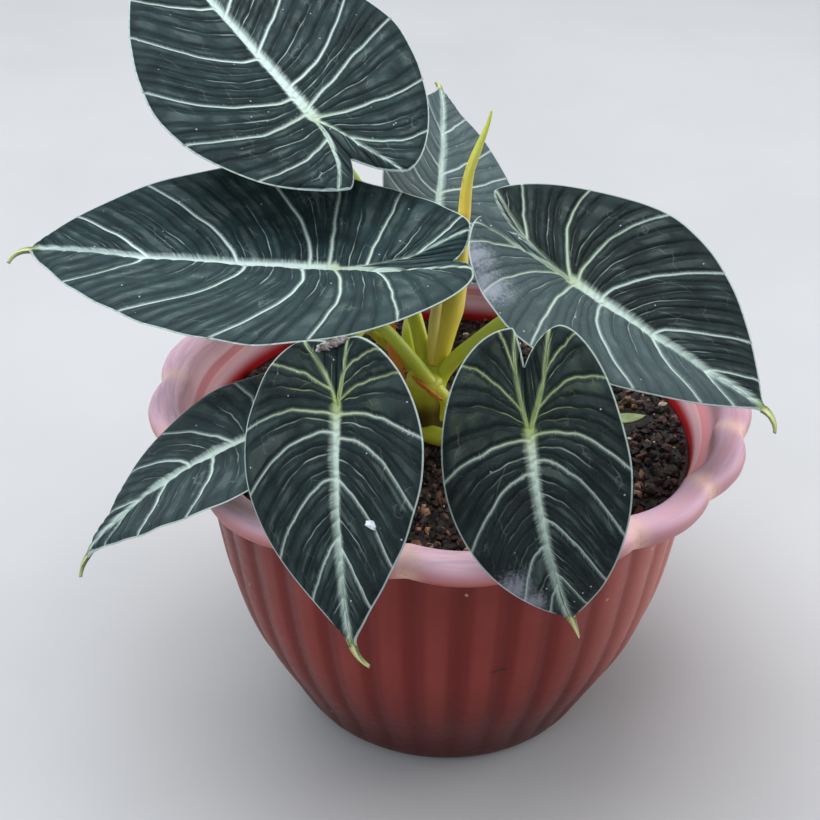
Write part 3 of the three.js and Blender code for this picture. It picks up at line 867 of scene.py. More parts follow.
@dataclass(frozen=True)
class StalkFinish:
    """Fibrous green, yellow or brown, from one colour at the foot to another at the tip, with stains.

    `foot`, where it is given, is the stretch over which a dark, old foot fades into the colour above it.
    """

    name: str
    base: tuple
    tip: tuple
    stain: tuple = srgb(176, 112, 48)
    stain_from: float = 0.66
    foot: tuple = ()
    fibre: tuple = srgb(220, 226, 116)
    aged: tuple = srgb(66, 34, 30)

    def build(self) -> Material:
        """Makes the material, which reads "stalk": share of the length, turn and a seed.

        Returns:
            The material of a stalk.
        """
        kit = NodeKit(self.name)
        share, turn, seed = kit.split(kit.attribute("stalk"))
        wide = kit.noise(kit.object_place(), 60.0, 3.0)
        colour = kit.blend(kit.step(kit.sway(share, wide, 0.5), 0.1, 0.8), self.base, self.tip)
        fibres = kit.noise(kit.join(kit.times(turn, 5.0), kit.times(share, 3.0), seed), 1.0, 3.0)
        colour = kit.blend(kit.step(fibres, 0.45, 0.75, (0.0, 0.35)), colour, self.fibre)
        stain = kit.step(kit.noise(kit.join(kit.times(turn, 0.8), kit.times(share, 6.0), seed), 1.0, 4.0),
                         self.stain_from, self.stain_from + 0.1)
        colour = kit.blend(kit.times(stain, 0.8), colour, self.stain)
        if self.foot:
            old = kit.step(kit.sway(share, wide, 0.4), self.foot[1], self.foot[0])
            colour = kit.blend(kit.times(old, 0.92), colour, self.aged)
        kit.set(Base_Color=colour, Roughness=0.42, Specular_IOR_Level=0.45, Normal=kit.bump(fibres, 0.15, 0.5),
                Subsurface_Weight=0.2, Subsurface_Radius=(0.8, 1.0, 0.2), Subsurface_Scale=0.002)
        return kit.material


@dataclass(frozen=True)
class PlainFinish:
    """A mottled finish of two colours, for the small pieces and the floor."""

    name: str
    first: tuple
    second: tuple
    scale: float
    roughness: float = 0.7
    relief: float = 0.2

    def build(self) -> Material:
        """Makes the material.

        Returns:
            A material that reads object coordinates.
        """
        kit = NodeKit(self.name)
        blotch = kit.noise(kit.object_place(), self.scale, 4.0, 0.6)
        colour = kit.blend(kit.step(blotch, 0.35, 0.65), self.first, self.second)
        kit.set(Base_Color=colour, Roughness=self.roughness, Normal=kit.bump(blotch, self.relief, 0.6))
        return kit.material


# ---- pot


@dataclass
class Pot:
    """The planter: a body of convex flutes under a rolled rim of soft scallops."""

    flutes: int = 34
    scallops: int = 17
    flute_depth: float = 1.3
    scallop_depth: float = 3.2
    first_valley: float = -13.6
    steps_per_scallop: int = 24
    drain_holes: int = 5
    drain_radius: float = 4.5
    drain_ring: float = 31.0
    steps_per_corner: int = 8
    hole_sides: int = 24
    # Middle and height of the cutter that drills a drain hole.
    drill: tuple[float, float] = (1.5, 9.0)
    # From the axis under the foot, up the outside, over the roll and down inside:
    # (radius, height, share of the flute relief, share of the scallop relief). The foot's edge is corner 0.
    section: tuple = (
        (0, 0, 0, 0), (49.4, 0, 0, 0), (51.6, 1.6, 0.1, 0), (60.6, 18, 0.7, 0), (69.6, 36, 1, 0),
        (76.2, 57, 1, 0), (80.8, 84, 1, 0), (84.4, 105.5, 0.9, 0), (90.5, 109.4, 0.1, 0.6),
        (97.6, 111.2, 0, 1), (100, 115.4, 0, 1), (98.2, 119, 0, 1), (94.2, 120, 0, 1),
        (90.2, 118.8, 0, 0.8), (87.0, 111.4, 0, 0.2), (83.8, 109.4, 0, 0), (81.2, 102, 0, 0),
        (77.6, 72, 0, 0), (67.4, 36, 0, 0), (50, 3, 0, 0), (0, 3, 0, 0),
    )
    # Keeps the finer looks inside the box of the coarser solid.
    inside_box: float = 0.9994
    finish: PotFinish = field(default_factory=PotFinish)

    def _smooth_section(self) -> Array:
        """The section with a round curve through its corners, and straight across the foot and the floor.

        Returns:
            Rows of radius, height, flute share, scallop share and place on the section, counted in corners.
        """
        corners = np.array(self.section, dtype=float)
        wall = curve_through(corners[1:-1], self.steps_per_corner)
        wall[:, 2:] = np.clip(wall[:, 2:], 0, 1)
        nearest = [int(np.hypot(wall[:, 0] - r, wall[:, 1] - z).argmin()) for r, z, *_ in corners[1:-1]]
        zone = np.interp(np.arange(len(wall)), nearest, np.arange(len(nearest)))
        first, last = [*corners[0], -1.0], [*corners[-1], zone[-1] + 1]
        return np.vstack([first, np.column_stack([wall, zone]), last])

    def _add_relief(self, bowl: Piece, section: Array) -> None:
        """Presses the flutes into the body and the scallops into the roll, and paints the zones.

        Args:
            bowl: The smooth bowl.
            section: The section it was spun from.
        """
        points = coordinates(bowl.data)
        radius = np.hypot(points[:, 0], points[:, 1])
        turn = np.arctan2(points[:, 1], points[:, 0]) - math.radians(self.first_valley)
        gap = (radius[:, None] - section[:, 0]) ** 2 + (points[:, 2:3] - section[:, 1]) ** 2
        nearest = section[gap.argmin(axis=1)]
        flute = 1 - np.abs(np.sin(turn * self.flutes / 2)) ** 0.7
        valley = np.sqrt(np.sin(turn * self.scallops / 2) ** 2 + 0.002)
        scallop = 1 - np.minimum(valley, 1) ** 0.85
        press = self.flute_depth * nearest[:, 2] * flute + self.scallop_depth * nearest[:, 3] * scallop
        scale = np.where(radius > 1e-6, 1 - press / np.maximum(radius, 1e-6), 1)
        points[:, :2] *= scale[:, None] * self.inside_box
        set_coordinates(bowl.data, points)
        ring = np.stack([nearest[:, 4], scallop * nearest[:, 3], flute * nearest[:, 2]], -1)
        set_attribute(bowl.data, "ring", ring)

    def _drill(self, bowl: Piece) -> None:
        """Cuts the drain holes through the floor.

        Args:
            bowl: The smooth bowl.
        """
        middle, depth = (size * MM for size in self.drill)
        for i in range(self.drain_holes):
            angle = 2 * math.pi * (i + 0.5) / self.drain_holes
            at = (self.drain_ring * math.cos(angle) * MM, self.drain_ring * math.sin(angle) * MM, middle)
            deselect()
            bpy.ops.mesh.primitive_cylinder_add(vertices=self.hole_sides, radius=self.drain_radius * MM, depth=depth,
                                                location=at)
            cutter = bpy.context.object
            apply_place(cutter)
            apply_modifier(bowl, "BOOLEAN", operation="DIFFERENCE", object=cutter, solver="EXACT")
            bpy.data.objects.remove(cutter)

    def build(self) -> None:
        """Models the planter and dresses it."""
        section = self._smooth_section()
        bowl = lay_section("planter", section)
        spin_section(bowl, self.scallops * self.steps_per_scallop)
        self._drill(bowl)
        self._add_relief(bowl, section)
        activate(bowl)
        bpy.ops.object.shade_smooth_by_angle(angle=math.radians(50))
        dress(bowl, self.finish.build(), "pot_plastic", "pot")


# ---- leaves


@dataclass(frozen=True)
class Half:
    """One half of a leaf. Lengths are shares of the leaf's length, angles are in degrees.

    A vein is (where it leaves the midrib or the basal rib, where it meets the margin, how far it bows
    back). The margin runs 0 to 1 round the inside of the lobe, 1 to 2 round its outside and 2 to 3 along
    the front.
    """

    width: float
    lobe: float
    inset: float
    corner: float
    lobe_droop: float
    fold: float
    curl: float
    # Share of painted grey sheen laid over this half.
    pale: float = 0.0
    rib: tuple[float, float] = (0.95, -0.12)
    branches: tuple = ((0.55, 1.25, -0.1), (0.18, 1.52, -0.1))
    veins: tuple = ((0.03, 1.9, -0.25), (0.14, 2.3, -0.35), (0.32, 2.55, -0.3), (0.58, 2.79, -0.2))


@dataclass(frozen=True)
class Leaf:
    """One leaf: where it hangs, its outline and how it is bent.

    Its tail is the drip tip: length, bend down in radians and sweep outwards. `green` and the painted bluish sheen of
    the whole leaf run from 0 to 1, a pale cloud (dust, and on blade_right a painted sheen) is (along, to the left,
    reach), and `midrib` and `vein` are factors on the widths of the midrib and of the side veins.
    """

    name: str
    at: Point
    heading: float
    pitch: float
    roll: float
    length: float
    sinus: float
    widest: float
    taper: tuple[float, float]
    gape: float
    droop: float
    left: Half
    right: Half
    stalk: tuple
    stalk_base: float = 2.7
    green: float = 0.5
    sky_sheen: float = 0.5
    dust_and_sheen: tuple = ()
    tail: tuple[float, float, float] = (9.0, 0.5, 0.0)
    midrib: float = 1.0
    vein: float = 1.0


LEAVES = (
    Leaf("blade_top", (-45.9, 32.4, 200.6), 132.4, 24.3, -1.6, 101.8, 0.2, 0.17, (1.82, 1.11), 0.62, -1,
         left=Half(0.467, 0.316, 0.1, 1.14, 15, 9, -20, rib=(1.1, -0.2), branches=((0.3, 1.49, -0.2),),
                   veins=((0.031, 1.84, -0.25), (0.105, 2.17, -0.35), (0.297, 2.44, -0.35),
                          (0.552, 2.61, -0.25), (0.76, 2.82, -0.2))),
         right=Half(0.446, 0.339, 0.12, 1.2, 10, 9, 17, rib=(0.8, 0.05), branches=((0.35, 1.36, -0.25),),
                    veins=((0.005, 1.64, -0.1), (0.043, 2.02, 0.05), (0.147, 2.25, -0.17),
                           (0.317, 2.49, -0.05), (0.505, 2.66, -0.07), (0.74, 2.84, -0.1))),
         stalk=((-8, 2, 108), (-8.5, 3, 125), (-12.5, 10, 141.5), (-23, 29, 161), (-36, 40, 180)),
         green=0.1, sky_sheen=0.6, midrib=1.4),
    Leaf("blade_left", (-37.5, -8.9, 167.5), 177.5, 0.3, -0.2, 96.2, 0.39, 0.22, (2.02, 0.74), 0.26, -3,
         left=Half(0.461, 0.46, 0.14, 1.23, 33, 9, -25, pale=0.16, rib=(0.8, -0.05), branches=((0.3, 1.5, -0.1),),
                   veins=((0.005, 1.79, -0.25), (0.114, 2.17, -0.42), (0.295, 2.55, -0.42), (0.629, 2.81, -0.32))),
         right=Half(0.46, 0.454, 0.15, 1.25, 40, 13, 16, rib=(0.86, -0.1),
                    branches=((0.58, 1.15, 0.0), (0.22, 1.5, 0.05)),
                    veins=((0.024, 1.75, -0.02), (0.086, 2.13, -0.25), (0.318, 2.58, -0.25), (0.608, 2.85, -0.17))),
         stalk=((-3.5, -2.5, 110), (-1.8, -5.2, 117), (-7.2, -6.8, 125.6), (-12.9, -8, 134.3), (-23.3, -9, 147.6)),
         green=0.2, sky_sheen=0.9, tail=(10.2, 1.15, 0.0), midrib=1.3),
    Leaf("blade_back", (-4.6, 84.6, 142), 84.8, 24.7, 31.2, 73.2, 0.28, 0.06, (1.68, 1.15), 0.25, 16,
         left=Half(0.436, 0.374, 0.17, 1.01, 10, 15, 17, pale=0.8),
         right=Half(0.446, 0.377, 0.18, 1, 9, 11, 4, pale=0.8,
                    veins=((0.03, 1.95, -0.1), (0.152, 2.34, -0.05), (0.276, 2.53, -0.08), (0.585, 2.76, -0.12))),
         stalk=((-8, 3, 108), (-11, 6, 121), (-14, 13, 131), (-11, 32, 134), (-6, 58, 127), (-3, 74, 130)),
         green=0.1),
    Leaf("blade_right", (36.3, -13.4, 166.9), -40.6, -15.3, 5.9, 73.6, 0.15, 0.18, (1.96, 1.01), 0.06, -4,
         left=Half(0.487, 0.542, 0.08, 1.18, 34, 13, 34, rib=(0.98, -0.08), branches=((0.5, 1.22, 0.0),),
                   veins=((0.0, 1.56, -0.3), (0.03, 1.95, -0.38), (0.154, 2.39, -0.35),
                          (0.429, 2.73, -0.38), (0.7, 2.89, -0.2))),
         right=Half(0.464, 0.48, 0.08, 1.09, 38, 8, -11, pale=0.55, rib=(1.12, -0.1),
                    branches=((0.55, 1.3, -0.1), (0.12, 1.62, -0.25)),
                    veins=((0.022, 1.97, -0.1), (0.172, 2.51, -0.36), (0.434, 2.78, -0.28), (0.7, 2.9, -0.2))),
         stalk=((-5, -1, 112), (-3.5, -2, 123.5), (0.5, -3.5, 131.5), (7.5, -6, 140.2), (16.5, -9, 150.2),
                (27.1, -11, 158.6)),
         # The two pale clouds on this leaf's left lobe are painted sheen, laid with the dust pattern.
         green=0.3, sky_sheen=0.2, dust_and_sheen=((-13, -26, 17), (-24, -20, 13)), tail=(9.6, 1.5, 0.0), midrib=1.2),
    Leaf("blade_front_left", (-33.5, -85.5, 164), -90.7, -51.6, 30.9, 66.7, 0.27, 0.19, (1.94, 1.15), 0.25, 19,
         left=Half(0.442, 0.292, 0.1, 1.21, 13, 11, -12, rib=(0.7, 0.05),
                   branches=((0.5, 1.3, -0.25), (0.1, 1.5, -0.15)),
                   veins=((0.025, 1.91, -0.15), (0.131, 2.3, -0.38), (0.296, 2.58, -0.25), (0.577, 2.79, -0.1))),
         right=Half(0.447, 0.289, 0.15, 1.04, 11, 8, -5, rib=(1.02, -0.15), branches=((0.25, 1.39, -0.1),),
                    veins=((0.032, 1.85, -0.22), (0.106, 2.21, -0.35), (0.293, 2.54, -0.36), (0.529, 2.76, -0.15))),
         stalk=((-8.5, 1, 110), (-10.5, 3.8, 121), (-15.5, 5.2, 128), (-21.5, 4.6, 134), (-27, -6, 145.5),
                (-31, -34, 157), (-32.5, -62, 161)),
         green=0.7, sky_sheen=0.3, tail=(8.2, 0.65, 2.4), midrib=0.85, vein=0.6),
    Leaf("blade_front_right", (19.9, -89, 159.5), -80.4, -53.3, 26.7, 62.1, 0.29, 0.18, (1.86, 0.96), 0.41, 54,
         left=Half(0.446, 0.455, 0.18, 1.17, -2, 7, -5, rib=(0.75, 0.1),
                   branches=((0.55, 1.22, -0.15), (0.2, 1.56, -0.35)),
                   veins=((0.025, 2.04, -0.33), (0.135, 2.4, -0.42), (0.397, 2.68, -0.3), (0.68, 2.87, -0.2))),
         right=Half(0.409, 0.469, 0.04, 0.98, -2, 16, 7, rib=(0.72, 0.1),
                    branches=((0.55, 1.1, -0.1), (0.16, 1.45, -0.25)),
                    veins=((0.04, 2.0, -0.18), (0.182, 2.38, -0.28), (0.529, 2.76, -0.4), (0.75, 2.9, -0.2))),
         stalk=((-11, -4, 105.5), (-6.2, -8.5, 106), (3, -17, 109), (12, -42, 127), (17, -68, 146)), stalk_base=3.2,
         green=0.8, sky_sheen=0.15, dust_and_sheen=((44, -12, 11), (50, -8, 8)), tail=(9.0, -0.5, 0.5), midrib=0.88, vein=0.55),
    Leaf("blade_low_left", (-57.5, -55, 135.6), 191, -18.5, -2.4, 69.2, 0.28, 0.12, (1.88, 1.21), 0.25, 34,
         left=Half(0.44, 0.3, 0.18, 1, 9, 3, 10, pale=0.2,
                   veins=((0.03, 1.9, -0.2), (0.239, 2.31, -0.2), (0.467, 2.61, 0.0), (0.7, 2.85, -0.1))),
         right=Half(0.446, 0.38, 0.18, 1, 9, 2, 0, pale=0.2,
                    veins=((0.03, 1.95, -0.2), (0.13, 2.4, -0.15), (0.356, 2.62, -0.38), (0.62, 2.82, -0.2))),
         stalk=((-10, -3, 107), (-22, -20, 117), (-40, -43, 128)), green=0.3),
)


@dataclass(frozen=True)
class LeafBuild:
    """Sizes that all leaves share, in millimetres. Half widths are given at the start and at the end."""

    thickness: float = 0.6
    tail_thickening: float = 0.5
    midrib_depth: float = 1.4
    rib_depth: float = 0.4
    midrib_sink: float = 0.3
    rib_sink: float = 0.14
    margin_fall: float = 0.25
    pillow: float = 0.075
    most_pillow: float = 1.0
    fine_ridge: float = 0.36
    fine_spacing: float = 4.2
    rows_per_fine: int = 9
    columns: int = 46
    inner_columns: int = 16
    outline_steps: int = 260
    wander: float = 0.55
    # How far a fine vein may stray on the margin and on the spine, as a share of the space between two.
    jitter: tuple[float, float] = (0.26, 0.3)
    # A distance that the finish takes for far away.
    far: float = 3.0
    midrib_half_width: tuple[float, float] = (1.45, 0.42)
    rib_half_width: tuple[float, float] = (0.6, 0.24)
    vein_half_width: tuple[float, float] = (0.46, 0.17)
    tail_half_width: float = 1.45
    tail_rows: int = 16


LEAF_BUILD = LeafBuild()


class LeafForm:
    """Places points of one leaf: from its flat outline, along and across the midrib, into the pot's frame."""

    def __init__(self, leaf: Leaf) -> None:
        """Works out the directions of the leaf's midrib, its left side and its upper face.

        Args:
            leaf: The leaf.
        """
        self.leaf = leaf
        heading, pitch, roll = (math.radians(a) for a in (leaf.heading, leaf.pitch, leaf.roll))
        self.ahead = np.array([math.cos(heading) * math.cos(pitch), math.sin(heading) * math.cos(pitch),
                               math.sin(pitch)])
        level = np.array([-math.sin(heading), math.cos(heading), 0.0])
        over = np.cross(self.ahead, level)
        self.leftward = level * math.cos(roll) + over * math.sin(roll)
        self.upward = over * math.cos(roll) - level * math.sin(roll)

    def half(self, side: int) -> Half:
        """The half on one side: +1 is left, seen from above with the tip ahead."""
        return self.leaf.left if side > 0 else self.leaf.right

    def margin(self, side: int, along: Array) -> Array:
        """Points of the flat outline.

        Args:
            side: +1 for the left half and -1 for the right one.
            along: Places on the margin, from 0 in the sinus to 3 at the tip.

        Returns:
            An array of n by 2: along the midrib, and away from it.
        """
        leaf, half = self.leaf, self.half(side)
        size = leaf.length
        reach, wide, narrow = half.lobe * size, half.width * size, half.inset * size
        notch, broad = leaf.sinus * size, leaf.widest * size
        t = np.clip(along, 0, 1) * math.pi / 2
        inner = np.stack([-notch - (reach - notch) * np.sin(t),
                          narrow * ((1 - leaf.gape) * (1 - np.cos(t)) + leaf.gape * np.sin(t))], -1)
        t = np.clip(along - 1, 0, 1) * math.pi / 2
        outer = np.stack([-reach + (reach + broad) * (1 - np.maximum(np.cos(t), 0) ** half.corner),
                          narrow + (wide - narrow) * np.sin(t) ** half.corner], -1)
        t = np.clip(along - 2, 0, 1)
        taper = wide * (1 - t ** leaf.taper[0]) ** leaf.taper[1]
        fade = LEAF_BUILD.tail_half_width * smooth(t, 0.75, 1.0)
        front = np.stack([broad + (size - broad) * t, (taper ** 3 + fade ** 3) ** (1 / 3)], -1)
        return np.where((along <= 1)[:, None], inner, np.where((along <= 2)[:, None], outer, front))

    def _midrib(self, x: Array, lobe_bend: Array) -> tuple[Array, Array, Array]:
        """Where the midrib lies and how it slopes.

        Args:
            x: Distance from the junction, negative towards the lobes.
            lobe_bend: How far the lobes bend down over the leaf's length, in radians.

        Returns:
            Distance ahead, height and slope.
        """
        size = self.leaf.length
        bend = np.where(x >= 0, math.radians(self.leaf.droop) / size, -lobe_bend / size)
        bend = np.where(np.abs(bend) < 1e-9, 1e-9, bend)
        blade = np.minimum(np.abs(x), size)
        sign = np.where(x < 0, -1.0, 1.0)
        ahead = sign * np.sin(bend * blade) / bend
        height = -(1 - np.cos(bend * blade)) / bend
        slope = bend * blade * sign
        tail = np.maximum(x - size, 0)
        rate = self.leaf.tail[1] / self.leaf.tail[0]
        forth, fall = np.sin(rate * tail) / rate, -(1 - np.cos(rate * tail)) / rate
        return (ahead + forth * np.cos(slope) + fall * np.sin(slope),
                height + fall * np.cos(slope) - forth * np.sin(slope), slope + rate * tail)

    def place(self, side: int, x: Array, y: Array, h: Array) -> Array:
        """Points of the leaf in the pot's frame.

        Args:
            side: +1 for the left half and -1 for the right one.
            x: Distance along the midrib from the junction.
            y: Distance from the midrib.
            h: Height above the blade's own surface.

        Returns:
            An array of n by 3.
        """
        leaf, half = self.leaf, self.half(side)
        wide = half.width * leaf.length
        even = (leaf.left.lobe_droop + leaf.right.lobe_droop) / 2
        lobe_bend = np.radians(even + (half.lobe_droop - even) * np.minimum(y / (0.4 * wide), 1))
        ahead, height, slope = self._midrib(x, lobe_bend)
        fold = math.radians(half.fold) + math.radians(half.curl) * 0.5 * y / wide
        lean = fold * np.minimum(y / (0.15 * wide), 1)
        sweep = leaf.tail[2] * (np.maximum(x - leaf.length, 0) / leaf.tail[0]) ** 1.4 * side
        out = y * np.cos(fold) - h * np.sin(lean) + sweep
        rise = y * np.sin(fold) + h * np.cos(lean)
        forward = ahead + rise * np.sin(slope)
        up = height + rise * np.cos(slope)
        return (np.array(leaf.at) + forward[:, None] * self.ahead + (out * side)[:, None] * self.leftward
                + up[:, None] * self.upward)


@dataclass
class Rows:
    """Rows of points that follow the veins of one patch of a half, from the spine to the margin."""

    start: Array
    end: Array
    bow: Array
    number: Array
    between_veins: Array
    between_fine: Array
    veins: list[int]
    wander: float = 0.0
    phase: float = 0.0

    def _wandering(self, columns: Array) -> Array:
        """How far the rows stray from their smooth curves, alike for neighbouring rows.

        Args:
            columns: Shares of the way from spine to margin.

        Returns:
            Distances, rows by columns.
        """
        u, k = columns[None, :], self.number[:, None]
        stray = (0.5 * np.sin(6.28 * (1.3 * u + 0.8 * k) + self.phase)
                 + 0.3 * np.sin(6.28 * (2.9 * u - 1.1 * k) - self.phase)
                 + 0.2 * np.sin(6.28 * (5.3 * u + 1.7 * k) + 2 * self.phase))
        return self.wander * stray * np.sin(np.pi * u) ** 0.7

    def grid(self, columns: Array) -> Array:
        """All points, as rows by columns by 2.

        Args:
            columns: Shares of the way from spine to margin.

        Returns:
            The points.
        """
        reach = np.linalg.norm(self.end - self.start, axis=1)
        control = (self.start + self.end) / 2
        control[:, 0] += self.bow * reach
        u = columns[None, :, None]
        smooth_rows = ((1 - u) ** 2 * self.start[:, None] + 2 * u * (1 - u) * control[:, None]
                       + u * u * self.end[:, None])
        smooth_rows[..., 0] += self._wandering(columns) * np.minimum(reach / 12, 1)[:, None]
        return smooth_rows


class Blade:
    """One leaf blade: a thin closed sheet, quilted between its veins, with its midrib standing out below."""

    def __init__(self, leaf: Leaf, sizes: LeafBuild = LEAF_BUILD) -> None:
        """Prepares the blade of one leaf.

        Args:
            leaf: The leaf.
            sizes: Sizes shared by all leaves.
        """
        self.leaf = leaf
        self.sizes = sizes
        self.form = LeafForm(leaf)
        self.seed = sum(ord(letter) for letter in leaf.name)

    def _rib_line(self, side: int, share: Array) -> Array:
        """Points of the basal rib, from the junction at 0 to the margin at 1.

        Args:
            side: Which half.
            share: Shares of the way.

        Returns:
            Flat points.
        """
        half = self.form.half(side)
        end = self.form.margin(side, np.array([half.rib[0]]))[0]
        control = end / 2 + np.array([0, half.rib[1]]) * np.linalg.norm(end)
        u = share[:, None]
        return 2 * u * (1 - u) * control + u * u * end

    def _spine(self, side: int, s: Array) -> Array:
        """Points of the line that the veins grow from: the basal rib below 0 and the midrib above 0.

        Args:
            side: Which half.
            s: Places from -1 at the rib's end to 1 at the tip.

        Returns:
            Flat points.
        """
        rib = self._rib_line(side, np.clip(-s, 0, 1))
        midrib = np.stack([np.maximum(s, 0) * self.leaf.length, np.zeros_like(s)], -1)
        return np.where((s < 0)[:, None], rib, midrib)

    def _rows(self, side: int, knots: list[tuple[float, float, float]], fine_step: float) -> Rows:
        """Fills the space between main veins with fine ones and with rows between those.

        Args:
            side: Which half.
            knots: The main veins, as (place on the spine, place on the margin, bow).
            fine_step: Distance between two fine veins.

        Returns:
            The rows, in order.
        """
        s, t, bow, number, veins_gap, fine_gap, veins = [], [], [], [], [], [], []
        draw = np.random.default_rng(self.seed + side + 2)
        for k, (a, b) in enumerate(zip(knots[:-1], knots[1:])):
            middle = []
            for knot in (a, b):
                first = self._spine(side, np.array([knot[0]]))[0]
                last = self.form.margin(side, np.array([knot[1]]))[0]
                middle.append((first + last) / 2)
            fine = 2 * max(1, round(float(np.linalg.norm(middle[1] - middle[0])) / fine_step / 2))
            steps = fine * self.sizes.rows_per_fine
            share = np.arange(steps) / steps
            uneven_end, uneven_start = (
                share + np.interp(share * fine, np.arange(fine + 1),
                                  np.concatenate([[0], draw.uniform(-most, most, fine - 1), [0]]) / fine)
                for most in self.sizes.jitter)
            veins.append(len(np.concatenate(s)) if s else 0)
            s.append(a[0] + (b[0] - a[0]) * uneven_start)
            t.append(a[1] + (b[1] - a[1]) * uneven_end)
            bow.append(a[2] + (b[2] - a[2]) * share)
            number.append(k + share)
            veins_gap.append(share)
            fine_gap.append((share * fine) % 1.0)
        veins.append(len(np.concatenate(s)))
        s, t, bow, number, veins_gap, fine_gap = (
            np.concatenate([*part, [last]]) for part, last in
            ((s, knots[-1][0]), (t, knots[-1][1]), (bow, knots[-1][2]), (number, len(knots) - 1),
             (veins_gap, 0.0), (fine_gap, 0.0)))
        return Rows(self._spine(side, s), self.form.margin(side, t), bow, number, veins_gap, fine_gap, veins)

    def _tail(self) -> Rows:
        """Rows across the drip tip.

        Returns:
            The rows, from the tip of the blade on.
        """
        sizes = self.sizes
        share = np.linspace(0, 1, sizes.tail_rows + 1)[1:]
        x = self.leaf.length + self.leaf.tail[0] * share
        half_width = sizes.tail_half_width * (1 - share) ** 0.9 * (1 - 0.3 * share)
        zero = np.zeros_like(x)
        return Rows(np.stack([x, zero], -1), np.stack([x, half_width], -1), zero, zero, zero, zero, [])

    def _vein_lines(self, side: int) -> list[tuple[Array, Array]]:
        """Middle lines and half widths of the basal rib, its branches and the side veins.

        Args:
            side: Which half.

        Returns:
            For each its points and its half width at each of them.
        """
        sizes = self.sizes
        share = np.linspace(0, 1, 20)
        wide, narrow = sizes.rib_half_width
        lines = [(self._rib_line(side, share), wide + (narrow - wide) * share)]
        wide, narrow = sizes.vein_half_width
        for number, (start, end, bow) in enumerate(self._knots(side)[1:-1], 1):
            rows = Rows(self._spine(side, np.array([start])), self.form.margin(side, np.array([end])),
                        np.array([bow]), np.array([float(number)]), *[np.zeros(1)] * 2, [], sizes.wander,
                        self._phase(side))
            thick = (0.8 if start < 0 else 1.0) * self.leaf.vein
            lines.append((rows.grid(share)[0], (wide + (narrow - wide) * share ** 0.8) * thick))
        return lines

    def _phase(self, side: int) -> float:
        """Number that sets how the veins of one half wander."""
        return 0.37 * self.seed + 1.3 * side

    def _knots(self, side: int) -> list[tuple[float, float, float]]:
        """Main veins of one half, in order from the basal rib's end to the tip.

        Args:
            side: Which half.

        Returns:
            For each its place on the spine, its place on the margin and its bow.
        """
        half = self.form.half(side)
        branches = sorted((-a, b, c) for a, b, c in half.branches)
        return [(-1.0, half.rib[0], 0.0), *branches, *half.veins, (1.0, 3.0, 0.0)]

    def _patches(self, side: int) -> list[tuple[Rows, Array]]:
        """The two parts of one half: outside the spine with the drip tip, and inside the basal rib.

        Args:
            side: Which half.

        Returns:
            For each its rows, and its columns from 0 on the spine to 1 on the margin.
        """
        half, sizes = self.form.half(side), self.sizes
        outer = self._rows(side, self._knots(side), sizes.fine_spacing)
        inner_middle = (-0.45, half.rib[0] * 0.45, 0.1)
        inner = self._rows(side, [(-1.0, half.rib[0], 0.0), inner_middle, (0.0, 0.0, 0.0)],
                           sizes.fine_spacing)
        tail = self._tail()
        joined = Rows(*(np.concatenate([getattr(outer, key), getattr(tail, key)])
                        for key in ("start", "end", "bow", "number", "between_veins", "between_fine")), outer.veins,
                      sizes.wander, self._phase(side))
        columns = (np.arange(sizes.columns + 1) / sizes.columns) ** 1.15
        return [(joined, columns), (inner, np.arange(sizes.inner_columns + 1) / sizes.inner_columns)]

    def _quilt(self, grid: Array, rows: Rows, columns: Array) -> SimpleNamespace:
        """How the blade swells between its veins.

        Args:
            grid: The patch's flat points.
            rows: The patch's rows.
            columns: The patch's columns.

        Returns:
            At each point the heights of pillow and fine ridge, the distances from the nearest fine vein (away) and
            from the middle between two main ones (minor), and the room between fine veins, 0 to 1.
        """
        sizes = self.sizes
        gap = np.zeros(grid.shape[:2])
        for a, b in zip(rows.veins[:-1], rows.veins[1:]):
            gap[a:b] = np.linalg.norm(grid[b] - grid[a], axis=-1)[None]
        step = np.linalg.norm(np.diff(grid, axis=0), axis=-1)
        step = np.vstack([step, step[-1:]])
        room = np.clip(step * sizes.rows_per_fine / sizes.fine_spacing, 0, 1)
        inside = smooth(columns, 0.0, 0.1) * (1 - smooth(columns, 0.88, 1.0))
        swell = np.sin(np.pi * rows.between_veins)[:, None].clip(0) ** 0.65
        pillow = np.minimum(gap * sizes.pillow, sizes.most_pillow) * swell * inside[None]
        ridge = np.abs(np.sin(np.pi * rows.between_fine))[:, None] ** 0.8 * inside[None] * sizes.fine_ridge * room
        away = np.minimum(rows.between_fine, 1 - rows.between_fine)[:, None] * sizes.rows_per_fine * step
        minor = np.abs(rows.between_veins - 0.5)[:, None] * gap + np.where(gap < 5, sizes.far, 0.0)
        found = {"pillow": pillow, "ridge": ridge, "away": away, "minor": minor, "room": room}
        return SimpleNamespace(**{key: values.ravel() for key, values in found.items()})

    def _survey(self, side: int, flat: Array) -> SimpleNamespace:
        """Where points lie on the leaf.

        Args:
            side: Which half.
            flat: Flat points, n by 2.

        Returns:
            For each its place x and y, its share of the leaf's length, and its distances from the midrib, from the
            side veins (lateral) and from the margin (edge), negative inside a vein.
        """
        sizes, length = self.sizes, self.leaf.length
        at = SimpleNamespace(x=flat[:, 0], y=np.maximum(flat[:, 1], 0))
        at.share = np.clip(at.x / length, 0, 1)
        wide, narrow = (half * self.leaf.midrib for half in sizes.midrib_half_width)
        half_width = np.where(at.x > 0, wide + (narrow - wide) * at.share ** 0.6, wide * smooth(at.x, -2.5, 0.0))
        at.midrib = np.hypot(at.y, np.minimum(at.x + 1.0, 0)) - half_width
        at.lateral = band_distance(flat, self._vein_lines(side))
        outline = self.form.margin(side, np.linspace(0, 3, sizes.outline_steps))
        at.edge = band_distance(flat, [(outline, np.zeros(len(outline)))])
        at.edge = np.where(at.x > length, sizes.far, at.edge)
        return at

